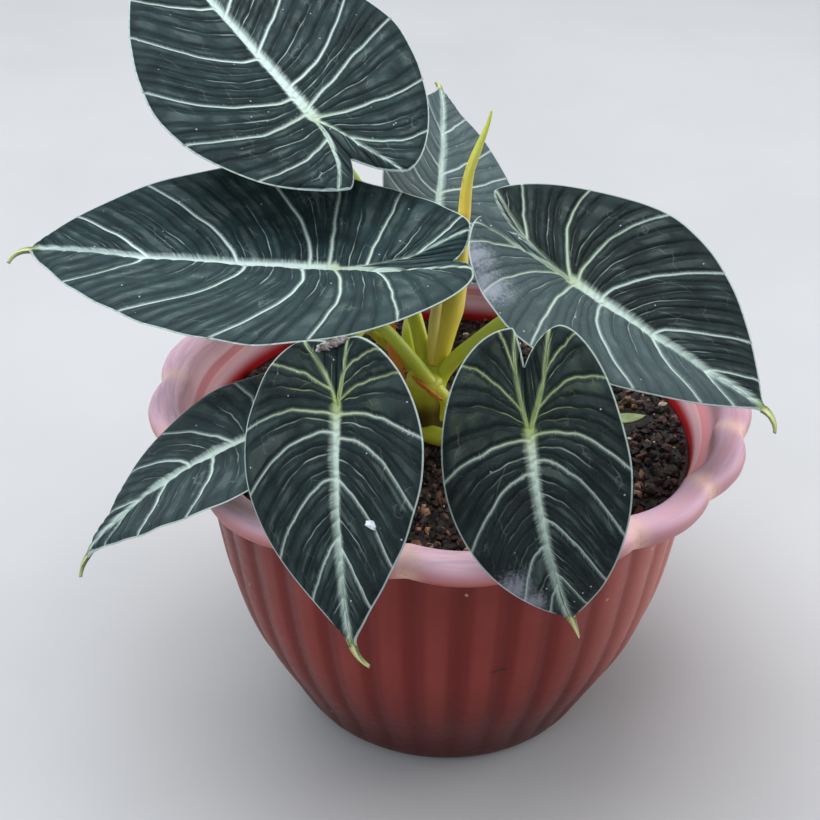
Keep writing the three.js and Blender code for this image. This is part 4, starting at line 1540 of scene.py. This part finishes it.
    def _heights(self, side: int, at: SimpleNamespace, quilt: SimpleNamespace) -> tuple[Array, Array]:
        """Heights of the two faces: quilted with sunk veins above, with the veins standing out below.

        Args:
            side: Which half.
            at: What _survey gave.
            quilt: What _quilt gave.

        Returns:
            Heights of the upper and of the lower face over the blade's own surface.
        """
        sizes, seed = self.sizes, self.seed
        wave = (0.35 * np.sin(0.16 * at.x + seed) * np.sin(0.13 * at.y * side + 0.7 * seed)
                + 0.2 * np.sin(0.31 * at.x - 0.27 * at.y * side + 2 * seed)) * smooth(at.y, 0.0, 9.0)
        relief = quilt.pillow + wave
        sunk = (sizes.midrib_sink * (1 - smooth(at.midrib, -0.7, 0.7))
                + sizes.rib_sink * (1 - smooth(at.lateral, -0.35, 0.45)))
        above = relief + quilt.ridge - sunk - sizes.margin_fall * (1 - smooth(at.edge, 0.0, 1.2))
        depth = sizes.midrib_depth * (1 - smooth(at.midrib, -1.1, 0.7)) * (1 - 0.8 * at.share)
        depth = depth + sizes.rib_depth * (1 - smooth(at.lateral, -0.5, 0.4)) * smooth(at.edge, 0, 6)
        thick = sizes.thickness * (0.45 + 0.55 * smooth(at.edge, 0.0, 2.0))
        tail = smooth(at.x, self.leaf.length - 6, self.leaf.length)
        thick = thick + sizes.tail_thickening * tail * (1 - smooth(at.y, 0.3, 1.2))
        return above, relief - 0.1 - thick - depth

    def _tones(self, side: int, at: SimpleNamespace) -> tuple[Array, Array]:
        """How green the leaf is, and where its pale clouds lie: dust, and on blade_right a painted sheen.

        Args:
            side: Which half.
            at: What _survey gave.

        Returns:
            Green, 0 to 1 and up to 2 at the tip, and the pale clouds, 0 to 1.
        """
        leaf = self.leaf
        junction = np.exp(-np.hypot(at.x, at.y) / 6.0)
        lobes = 1 - smooth(at.x, -3.0, 7.0)
        tip = smooth(at.x, leaf.length - 5, leaf.length + 3)
        green = np.clip(0.42 * junction + leaf.green * (0.85 * lobes + 0.15) + tip, 0, 1) + tip
        dust_and_sheen = np.zeros_like(at.x)
        for along, left, reach in leaf.dust_and_sheen:
            dust_and_sheen = np.maximum(dust_and_sheen, 1 - np.hypot(at.x - along, at.y * side - left) / reach)
        return green, np.clip(dust_and_sheen, 0, 1)

    def _half_mesh(self, side: int) -> list[dict[str, Array]]:
        """Upper and lower face of one half, patch by patch.

        Args:
            side: Which half.

        Returns:
            For each patch its points above and below and the values that the material reads.
        """
        leaf = self.leaf
        seed = float(self.seed % 50 + (60 if side > 0 else 0))
        out = []
        for rows, columns in self._patches(side):
            grid = rows.grid(columns)
            quilt = self._quilt(grid, rows, columns)
            at = self._survey(side, grid.reshape(-1, 2))
            above, below = self._heights(side, at, quilt)
            green, dust_and_sheen = self._tones(side, at)
            width = len(columns)
            across = np.repeat(run_length(grid[:, width // 2]), width)
            along = np.concatenate([run_length(row) for row in grid])
            start = np.repeat(run_length(rows.start), width)
            minor = np.where(at.x > leaf.length - 1, self.sizes.far, quilt.minor)
            # Painted grey sheen of the half and painted sky sheen of the whole leaf, and the half's seed.
            pale, sky_sheen, number = (np.full_like(at.x, value) for value in (self.form.half(side).pale, leaf.sky_sheen, seed))
            out.append({"shape": np.array(grid.shape[:2]), "green": green, "dust_and_sheen": dust_and_sheen,
                        "above": self.form.place(side, at.x, at.y, above),
                        "below": self.form.place(side, at.x, at.y, below),
                        "veins": np.stack([at.midrib, at.lateral, quilt.away], -1),
                        "rows": np.stack([across, along, at.edge], -1),
                        "age": np.stack([pale, sky_sheen, quilt.room], -1),
                        "flat": np.stack([at.x, at.y * side, number], -1),
                        "spine": np.stack([start, minor, np.tile(columns, len(rows.number))], -1)})
        return out

    def _assemble(self) -> Piece:
        """Joins both halves into one closed sheet.

        Returns:
            The blade's object, with its attributes.
        """
        shared = ("veins", "rows", "flat", "spine", "age")
        points, quads, attributes = [], [], {key: [] for key in (*shared, "tones")}
        offset = 0
        for side in (1, -1):
            for patch in self._half_mesh(side):
                rows, columns = patch["shape"]
                count = rows * columns
                index = np.arange(count).reshape(rows, columns)
                a, b, c, d = index[:-1, :-1], index[1:, :-1], index[1:, 1:], index[:-1, 1:]
                face = np.stack([a, b, c, d], -1).reshape(-1, 4)
                rim = np.stack([index[:-1, -1], index[1:, -1], index[1:, -1] + count, index[:-1, -1] + count], -1)
                quads += [face + offset, face[:, ::-1] + offset + count, rim + offset]
                for layer, under in (("above", 0.0), ("below", 1.0)):
                    points.append(patch[layer])
                    for key in shared:
                        attributes[key].append(patch[key])
                    tones = np.stack([patch["green"], np.full(count, under), patch["dust_and_sheen"]], -1)
                    attributes["tones"].append(tones)
                offset += 2 * count
        name = "leaf_" + self.leaf.name.removeprefix("blade_")
        piece = new_mesh_object(name, np.vstack(points), np.vstack(quads))
        for key, values in attributes.items():
            set_attribute(piece.data, key, np.vstack(values))
        return piece

    def build(self, material: Material) -> None:
        """Models the blade and dresses it.

        Args:
            material: The finish that all blades share.
        """
        piece = self._assemble()
        close_and_smooth(piece)
        dress(piece, material, "leaf_blade", self.leaf.name)


# ---- stalks and crown


def sweep(name: str, corners: object, sizes: tuple, per_stretch: int, flatten: float = 1.0,
          sides: int = 20, seed: float = 0.0) -> Piece:
    """Makes a tapered stalk with round ends.

    Args:
        name: The piece's name.
        corners: Points that its middle line runs through.
        sizes: Radii at even steps along it.
        per_stretch: Number of steps between two corners.
        flatten: Second radius as a share of the first.
        sides: Number of sides of the section.
        seed: Number that sets this stalk's own mottling.

    Returns:
        The closed stalk, with the attribute "stalk".
    """
    path = curve_through(np.array(corners, dtype=float), per_stretch)
    radii = np.interp(np.linspace(0, 1, len(path)), np.linspace(0, 1, len(sizes)), sizes)
    tangent = np.gradient(path, axis=0)
    tangent /= np.linalg.norm(tangent, axis=1)[:, None]
    across = np.cross(tangent[0], (0.0, 1.0, 0.2))
    across /= np.linalg.norm(across)
    normals = []
    for direction in tangent:
        across = across - direction * (across @ direction)
        across /= np.linalg.norm(across)
        normals.append(across)
    normals = np.array(normals)
    sideways = np.cross(tangent, normals)
    cap = np.sin(np.linspace(0, math.pi / 2, 5))[1:-1]
    first = [(0, -math.sqrt(1 - c * c) * 0.6, c) for c in cap]
    last = [(len(path) - 1, math.sqrt(1 - c * c) * 0.6, c) for c in cap[::-1]]
    plan = [(0, -0.6, 0.0), *first, *[(i, 0.0, 1.0) for i in range(len(path))], *last, (len(path) - 1, 0.6, 0.0)]
    angle = np.linspace(0, 2 * math.pi, sides, endpoint=False)
    rings, values = [], []
    for i, push, scale in plan:
        centre = path[i] + tangent[i] * push * radii[i] * flatten
        ring = (centre + radii[i] * scale * np.cos(angle)[:, None] * normals[i]
                + radii[i] * scale * flatten * np.sin(angle)[:, None] * sideways[i])
        rings.append(ring)
        values.append(np.stack([np.full(sides, i / (len(path) - 1)), angle, np.full(sides, seed)], -1))
    index = np.arange(len(rings) * sides).reshape(len(rings), sides)
    turned = np.roll(index, -1, axis=1)
    quads = np.stack([index[:-1], turned[:-1], turned[1:], index[1:]], -1).reshape(-1, 4)
    piece = new_mesh_object(name, np.vstack(rings), quads)
    set_attribute(piece.data, "stalk", np.vstack(values))
    close_and_smooth(piece)
    return piece


@dataclass
class Stems:
    """Crown, sheath with its fold and dry edge, and the stalks of all leaves.

    Each path is the points that a piece runs through, and its radii are at even steps along it.
    """

    crown_at: tuple[float, float] = (-7.6, -1.0)
    crown_heights: tuple[float, float] = (90.0, 126.0)
    crown_radii: tuple = (5.2, 6.0, 6.1, 5.7, 5.8)
    sheath_path: tuple = ((-7, -1, 110), (-5.8, 0, 122), (-2.6, 3, 139.5), (-0.2, 6, 149), (1.5, 9, 161),
                          (2.4, 11, 170))
    sheath_radii: tuple = (3.8, 2.8, 4.0, 4.7, 3.8, 2.3)
    stalk_tip: float = 1.7
    steps_per_corner: int = 14
    mouth_path: tuple = ((-8, -2.6, 101), (-8.1, -3.2, 109), (-8.4, -3.9, 118), (-8.8, -4.3, 124.6))
    mouth_radii: tuple = (4.6, 5.0, 5.9, 6.2)
    fold_path: tuple = ((-5.8, -1.2, 124), (-6.4, -0.8, 133), (-5.8, 0.4, 142), (-4.6, 3, 153))
    fold_radii: tuple = (0.8, 1.7, 2.0, 1.6)
    edge_path: tuple = ((-12.8, -8.8, 128.9), (-11.0, -9.7, 127.2), (-8, -10.3, 124.8), (-5, -9.9, 121.8),
                        (-2.6, -8.4, 119.4))
    edge_radii: tuple = (0.35, 0.8, 0.7, 0.9, 0.4)
    green: StalkFinish = StalkFinish("green_stalk", srgb(222, 232, 76), srgb(198, 222, 84), stain_from=0.77)
    olive: StalkFinish = StalkFinish("crown_sheath", srgb(190, 186, 54), srgb(208, 214, 70), stain_from=0.72,
                                     foot=(0.55, 0.95))
    yellow: StalkFinish = StalkFinish("yellow_sheath", srgb(228, 210, 72), srgb(240, 222, 88), stain_from=0.7)
    cream: StalkFinish = StalkFinish("sheath_fold", srgb(248, 226, 112), srgb(250, 232, 140), stain_from=0.74)
    dry: StalkFinish = StalkFinish("dry_edge", srgb(228, 118, 42), srgb(240, 146, 60), srgb(150, 74, 34), 0.6)

    def build(self) -> None:
        """Models the crown, the sheath and the stalks, and dresses them."""
        green, yellow, olive = self.green.build(), self.yellow.build(), self.olive.build()
        crown_path = [(*self.crown_at, z) for z in np.linspace(*self.crown_heights, len(self.crown_radii))]
        self._stalk("crown", crown_path, self.crown_radii, 28, 1.0, olive)
        self._stalk("crown_sheath", self.mouth_path, self.mouth_radii, 28, 1.5, olive)
        self._stalk("sheath_fold", self.fold_path, self.fold_radii, 16, 1.7, self.cream.build())
        self._stalk("sheath_edge", self.edge_path, self.edge_radii, 12, 1.9, self.dry.build(), 0.4)
        self._stalk("leaf_sheath", self.sheath_path, self.sheath_radii, 24, 2.0, yellow)
        for number, leaf in enumerate(LEAVES):
            form = LeafForm(leaf)
            seat = LEAF_BUILD.thickness + LEAF_BUILD.midrib_depth
            ends = [form.place(1, np.array([1.0]), np.zeros(1), np.array([-h]))[0] for h in (seat + 6.0, seat)]
            path = np.vstack([leaf.stalk, *ends])
            base, tip = leaf.stalk_base, self.stalk_tip
            radii = (base, base * 0.9, 0.4 * base + 0.6 * tip, tip)
            self._stalk("stalk_" + leaf.name.removeprefix("blade_"), path, radii, 18, 3.0 + number, green)

    def _stalk(self, name: str, path: object, radii: tuple, sides: int, seed: float,
               material: Material, flatten: float = 1.0) -> None:
        """Sweeps one piece of the stems and dresses it.

        Args:
            name: The piece's name.
            path: The points that it runs through.
            radii: Radii at even steps along it.
            sides: Sides of the section.
            seed: Number for its own mottling.
            material: Its finish.
            flatten: Second radius as a share of the first.
        """
        dress(sweep(name, path, radii, self.steps_per_corner, flatten, sides, seed), material, "green_stalk", "stems")


@dataclass
class SmallLeaves:
    """The rolled new leaf, the dry sheath and the small pale leaf on the soil."""

    new_path: tuple = ((2.46, 11.12, 170.4), (3.2, 12.4, 178), (3.6, 13.2, 185), (4.6, 14, 191.5),
                       (7.4, 16, 199.3), (9.9, 17.5, 205.8), (10.9, 18.2, 210))
    new_radii: tuple = (2.2, 2.1, 1.9, 1.6, 1.4, 0.9, 0.35)
    dry_path: tuple = ((-14.0, -0.6, 113), (-16.6, -1, 124), (-19.4, -0.6, 135), (-19.4, 1.4, 144))
    dry_radii: tuple = (0.7, 1.5, 1.9, 0.8)
    dry_flatten: float = 0.45
    steps_per_corner: int = 12
    fallen_length: float = 14.6
    fallen_half_width: float = 3.0
    fallen_turn: float = 12.0
    fallen_thickness: float = 0.4
    rolled: StalkFinish = StalkFinish("rolled_leaf", srgb(242, 212, 84), srgb(196, 198, 80), srgb(206, 124, 44), 0.62)
    dry: StalkFinish = StalkFinish("dry_sheath", srgb(255, 166, 84), srgb(246, 146, 70), srgb(206, 112, 52), 0.62)
    pale: PlainFinish = PlainFinish("pale_leaf", srgb(168, 184, 130), srgb(138, 158, 104), 260.0, 0.6)

    def build(self) -> None:
        """Models the three pieces and dresses them."""
        for name, path, radii, flatten, finish, slot, node in (
                ("new_leaf_roll", self.new_path, self.new_radii, 1.0, self.rolled, "rolled_leaf", "new_leaf"),
                ("dry_sheath_strip", self.dry_path, self.dry_radii, self.dry_flatten, self.dry, "dry_sheath",
                 "dry_sheath")):
            piece = sweep(name, path, radii, self.steps_per_corner, flatten, seed=9.0)
            dress(piece, finish.build(), slot, node)
        self._fallen_leaf()

    def _fallen_leaf(self) -> None:
        """Models the small leaf that lies on the soil, inside the room of its CAD solid."""
        low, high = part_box("fallen_leaf")
        middle = [(a + b) / 2 for a, b in zip(low, high)]
        deselect()
        bpy.ops.mesh.primitive_grid_add(x_subdivisions=24, y_subdivisions=10, size=1, location=(0, 0, 0))
        leaf = bpy.context.object
        leaf.name = "fallen_leaf_blade"
        points = coordinates(leaf.data) * MM
        along, across = points[:, 0], points[:, 1] * 2
        half_width = self.fallen_half_width * (1 - (2 * along) ** 2) + 0.05
        height = -0.35 * np.exp(-(across / 0.12) ** 2) + 0.4 * (1 - across ** 2)
        x, y = along * self.fallen_length, across * half_width
        turn = math.radians(self.fallen_turn)
        turned = np.stack([x * math.cos(turn) - y * math.sin(turn), x * math.sin(turn) + y * math.cos(turn),
                           height], -1)
        set_coordinates(leaf.data, turned + np.array([middle[0], middle[1], low[2]]) / MM)
        apply_modifier(leaf, "SOLIDIFY", thickness=self.fallen_thickness * MM, offset=-1)
        close_and_smooth(leaf)
        dress(leaf, self.pale.build(), "pale_leaf", "fallen_leaf")


@dataclass
class Litter:
    """Bits that have dropped on the plant: a chip, a dry crust and a sliver of bark."""

    chip_at: Point = (-23.1, -110.6, 142.2)
    chip_size: Point = (1.9, 1.1, 0.45)
    # Turns about X and Z, in degrees, that lay the chip on its leaf.
    chip_lean: tuple[float, float] = (52.0, -25.0)
    crust_path: tuple = ((-39.7, -74.6, 175.4), (-37.8, -74.9, 176.8), (-35.8, -75.0, 177.9), (-33.4, -75.9, 179.7),
                         (-31.0, -76.7, 181.4))
    crust_radii: tuple = (0.6, 1.6, 1.2, 1.5, 0.6)
    crust_crumple: float = 0.9
    bark_path: tuple = ((58.8, 17.0, 103.5), (61.5, 17.9, 104.0), (65.0, 17.5, 103.9), (68.4, 18.3, 103.6))
    bark_radii: tuple = (0.6, 1.1, 0.9, 0.5)
    bark_crumple: float = 0.7
    chip_finish: PlainFinish = PlainFinish("pale_chip", srgb(226, 232, 236), srgb(186, 196, 202), 900.0, 0.7)
    crust_finish: PlainFinish = PlainFinish("dry_crust", srgb(178, 174, 174), srgb(88, 66, 54), 520.0, 0.85, 0.5)
    bark_finish: PlainFinish = PlainFinish("bark_bit", srgb(150, 138, 124), srgb(84, 68, 58), 420.0, 0.85, 0.5)

    def _strip(self, name: str, path: tuple, radii: tuple, crumple: float, finish: PlainFinish, slot: str) -> None:
        """Models a thin crumpled strip.

        Args:
            name: The piece's name.
            path: Points of its middle line.
            radii: Half widths along it.
            crumple: How far its points are pushed about, in millimetres.
            finish: Its finish.
            slot: Name of its material slot, handed on to dress.
        """
        piece = sweep(name, path, radii, 8, flatten=0.35, sides=14)
        points = coordinates(piece.data)
        push = np.array([list(noise.noise_vector(Vector(point * 0.9))) for point in points])
        set_coordinates(piece.data, points + crumple * push)
        dress(piece, finish.build(), slot)

    def build(self) -> None:
        """Models the bits and dresses them."""
        self._strip("leaf_crust", self.crust_path, self.crust_radii, self.crust_crumple, self.crust_finish,
                    "dry_sheath")
        self._strip("bark_bit", self.bark_path, self.bark_radii, self.bark_crumple, self.bark_finish, "potting_soil")
        deselect()
        bpy.ops.mesh.primitive_ico_sphere_add(subdivisions=2, radius=1.0, location=(0, 0, 0))
        chip = bpy.context.object
        chip.name = "leaf_chip"
        points = coordinates(chip.data) * MM
        knobs = np.array([noise.noise(Vector(point * 1.4)) for point in points])
        points = points * (1 + 0.5 * knobs[:, None]) * np.array(self.chip_size)
        about_x, about_z = (math.radians(angle) for angle in self.chip_lean)
        lean = Matrix.Rotation(about_x, 3, "X") @ Matrix.Rotation(about_z, 3, "Z")
        set_coordinates(chip.data, points @ np.array(lean).T + np.array(self.chip_at))
        close_and_smooth(chip, smooth_shade=False)
        dress(chip, self.chip_finish.build(), "potting_soil")


# ---- soil


@dataclass
class Soil:
    """The bed of potting mix and the loose crumbs on it."""

    edge: float = 102.0
    around_crown: float = 100.0
    lump: float = 1.5
    clearance: float = 0.4
    crown_at: tuple[float, float] = (-7.6, -1.0)
    crown_radius: float = 6.5
    wall: tuple = ((50, 3), (67.4, 36), (77.6, 72), (81.2, 102))
    rings: int = 84
    columns: int = 300
    crumbs: int = 9000
    crumb_shapes: int = 8
    # Smallest size and what the largest have more.
    crumb_size: tuple[float, float] = (0.42, 1.9)
    crumb_reach: float = 79.5
    # Where the fallen leaf lies, and the flat patch below it.
    rest_at: tuple[float, float] = (61.0, 12.0)
    rest_radius: float = 9.0
    finish: SoilFinish = field(default_factory=SoilFinish)

    def height(self, x: Array, y: Array) -> Array:
        """Height of the bed's surface.

        Args:
            x: Places to the right.
            y: Places to the back.

        Returns:
            Heights above the underside of the pot.
        """
        from_crown = np.hypot(x - self.crown_at[0], y - self.crown_at[1])
        level = self.around_crown + (self.edge - self.lump - self.around_crown) * smooth(from_crown, 14, 34)
        rough = np.array([noise.fractal(Vector((a * 0.11, b * 0.11, 4.0)), 0.6, 2.1, 5) for a, b in zip(x, y)])
        clods = np.array([noise.noise(Vector((a * 0.5, b * 0.5, 9.0))) for a, b in zip(x, y)])
        from_rest = np.hypot(x - self.rest_at[0], y - self.rest_at[1])
        from_wall = self.wall[-1][0] - np.hypot(x, y)
        loose = smooth(from_wall, 0, 5) * smooth(from_rest, self.rest_radius - 1, self.rest_radius + 4)
        return level + (self.lump * 0.9 * rough + 0.9 * np.abs(clods)) * loose

    def _bed(self, material: Material) -> None:
        """Models the filled body of soil.

        Args:
            material: Its finish.
        """
        rings = self.rings
        section = [(0.0, 3.3)]
        section += [(r - self.clearance, z + (0.3 if i == 0 else 0)) for i, (r, z) in enumerate(self.wall)]
        section[-1] = (section[-1][0], self.edge - 1.4)
        top = section[-1][0]
        section += [(top * (1 - i / rings), self.edge) for i in range(1, rings)] + [(0.0, self.edge)]
        bed = lay_section("soil_bed", np.array(section))
        spin_section(bed, self.columns)
        points = coordinates(bed.data)
        top_side = points[:, 2] > self.edge - 2
        points[top_side, 2] = self.height(points[top_side, 0], points[top_side, 1])
        set_coordinates(bed.data, points)
        shade = np.array([0.13 + 0.35 * noise.noise(Vector(p * 0.45)) for p in points])
        set_attribute(bed.data, "shade", np.stack([shade] * 3, -1))
        dress(bed, material, "potting_soil", "soil")

    def _crumb_shapes(self, draw: np.random.Generator) -> list[tuple[Array, Array]]:
        """Models a few crumbs, each as points around 0 and its triangles.

        Args:
            draw: The seeded source of chance.

        Returns:
            Points and triangles of each shape.
        """
        shapes = []
        for _ in range(self.crumb_shapes):
            deselect()
            bpy.ops.mesh.primitive_ico_sphere_add(subdivisions=1, radius=1.0, location=(0, 0, 0))
            crumb = bpy.context.object
            bpy.ops.object.mode_set(mode="EDIT")
            bpy.ops.mesh.select_all(action="SELECT")
            bpy.ops.mesh.vertices_smooth(factor=0.1, repeat=1)
            bpy.ops.object.mode_set(mode="OBJECT")
            points = coordinates(crumb.data) * MM
            points *= 1 + draw.uniform(-0.38, 0.38, (len(points), 1))
            points *= draw.uniform(0.5, 1.25, 3)
            triangles = np.array([list(face.vertices) for face in crumb.data.polygons])
            shapes.append((points, triangles))
            bpy.data.objects.remove(crumb)
        return shapes

    def _crumbs(self, material: Material) -> None:
        """Scatters crumbs, bark and pale grains over the bed and joins them into one piece.

        Args:
            material: Their finish.
        """
        draw = np.random.default_rng(SEED)
        shapes = self._crumb_shapes(draw)
        least, more = self.crumb_size
        points, faces, shades, offset = [], [], [], 0
        while len(points) < self.crumbs:
            reach = self.crumb_reach * math.sqrt(draw.random())
            angle = draw.uniform(0, 2 * math.pi)
            x, y = reach * math.cos(angle), reach * math.sin(angle)
            size = least + more * draw.random() ** 2.8
            tone = draw.random()
            pick = draw.integers(len(shapes))
            tilt = Matrix.Rotation(draw.uniform(0, 6.28), 3, "Z") @ Matrix.Rotation(draw.uniform(0, 6.28), 3, "X")
            near_crown = math.hypot(x - self.crown_at[0], y - self.crown_at[1]) < self.crown_radius + size
            under_leaf = math.hypot(x - self.rest_at[0], (y - self.rest_at[1]) * 2) < self.rest_radius + size
            if near_crown or under_leaf or reach + size > self.crumb_reach + 1:
                continue
            shape, triangles = shapes[pick]
            z = float(self.height(np.array([x]), np.array([y]))[0])
            moved = (shape * size) @ np.array(tilt).T + np.array([x, y, z + 0.3 * size])
            points.append(moved)
            faces.append(triangles + offset)
            shade = 0.02 + 0.4 * tone if tone < 0.72 else 0.36 + 1.9 * (tone - 0.72)
            shade = 0.97 if tone > 0.988 else shade
            shades.append(np.full(len(shape), shade))
            offset += len(shape)
        mesh = bpy.data.meshes.new("soil_crumbs")
        mesh.from_pydata((np.vstack(points) * MM).tolist(), [], np.vstack(faces).tolist())
        piece = bpy.data.objects.new("soil_crumbs", mesh)
        bpy.context.collection.objects.link(piece)
        set_attribute(mesh, "shade", np.stack([np.concatenate(shades)] * 3, -1))
        dress(piece, material, "potting_soil")

    def build(self) -> None:
        """Models the bed and its crumbs, and dresses them."""
        material = self.finish.build()
        self._bed(material)
        self._crumbs(material)


# ---- studio


class Softness(Enum):
    """Sizes of the studio's lamps, in metres."""

    OVERHEAD = 1.6
    SIDE = 0.9
    FILL = 1.4


@dataclass(frozen=True)
class Lamp:
    """A square lamp: its place in metres, its power in watts, its size and its colour."""

    name: str
    at: Point
    power: float
    size: Softness
    colour: Point

    def hang(self, aim: Point) -> None:
        """Hangs the lamp.

        Args:
            aim: The point that it faces, in metres.
        """
        data = bpy.data.lights.new(self.name, "AREA")
        data.energy, data.size, data.color = self.power, self.size.value, self.colour
        lamp = bpy.data.objects.new(self.name, data)
        bpy.context.collection.objects.link(lamp)
        lamp.location = self.at
        lamp.rotation_euler = (Vector(aim) - Vector(self.at)).to_track_quat("-Z", "Y").to_euler()


@dataclass
class Studio:
    """A plain pale floor, soft lamps and the camera, which stands where the photo's camera stood."""

    camera_at: Point = (-0.01332, -0.48644, 0.41411)
    look_down: float = 32.0
    camera_roll: float = 0.86
    lens: float = 74.98
    sensor: float = 36.0
    floor_size: float = 12.0
    floor_tone: PlainFinish = PlainFinish("studio_floor", srgb(197, 197, 198), srgb(191, 191, 192), 3.0, 0.85, 0.0)
    sky: tuple = (0.86, 0.92, 1.0, 1.0)
    sky_strength: float = 0.44
    aim: Point = (0.0, 0.0, 0.12)
    lamps: tuple = (Lamp("overhead", (-0.3, 0.12, 1.5), 28.0, Softness.OVERHEAD, (0.95, 0.98, 1.0)),
                    Lamp("side", (1.2, 0.3, 0.3), 10.0, Softness.SIDE, (1.0, 0.95, 0.9)),
                    Lamp("fill", (-0.9, -1.2, 0.9), 7.0, Softness.FILL, (0.9, 0.95, 1.0)))

    def build(self) -> None:
        """Makes the floor, the lights and the camera."""
        deselect()
        bpy.ops.mesh.primitive_plane_add(size=self.floor_size, location=(0, 0, -0.0003))
        floor = bpy.context.object
        floor.name = "studio_floor"
        apply_place(floor)
        floor.data.materials.append(self.floor_tone.build())
        world = bpy.data.worlds.new("studio")
        bpy.context.scene.world = world
        world.use_nodes = True
        sky = world.node_tree.nodes["Background"]
        sky.inputs[0].default_value, sky.inputs[1].default_value = self.sky, self.sky_strength
        bpy.context.scene.view_settings.view_transform = "Standard"
        for lamp in self.lamps:
            lamp.hang(self.aim)
        data = bpy.data.cameras.new("camera")
        data.lens, data.sensor_width = self.lens, self.sensor
        camera = bpy.data.objects.new("camera", data)
        bpy.context.collection.objects.link(camera)
        turn = Matrix.Rotation(math.radians(90 - self.look_down), 4, "X")
        turn = turn @ Matrix.Rotation(math.radians(self.camera_roll), 4, "Z")
        camera.matrix_world = Matrix.Translation(self.camera_at) @ turn
        bpy.context.scene.camera = camera


def main() -> None:
    """Builds every piece in order."""
    logging.basicConfig(level=logging.INFO, format="%(name)s: %(message)s")
    noise.seed_set(SEED)
    Pot().build()
    Soil().build()
    Stems().build()
    blade_finish = BladeFinish().build()
    for leaf in LEAVES:
        Blade(leaf).build(blade_finish)
    SmallLeaves().build()
    Litter().build()
    Studio().build()
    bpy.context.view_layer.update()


if __name__ == "__main__":
    main()
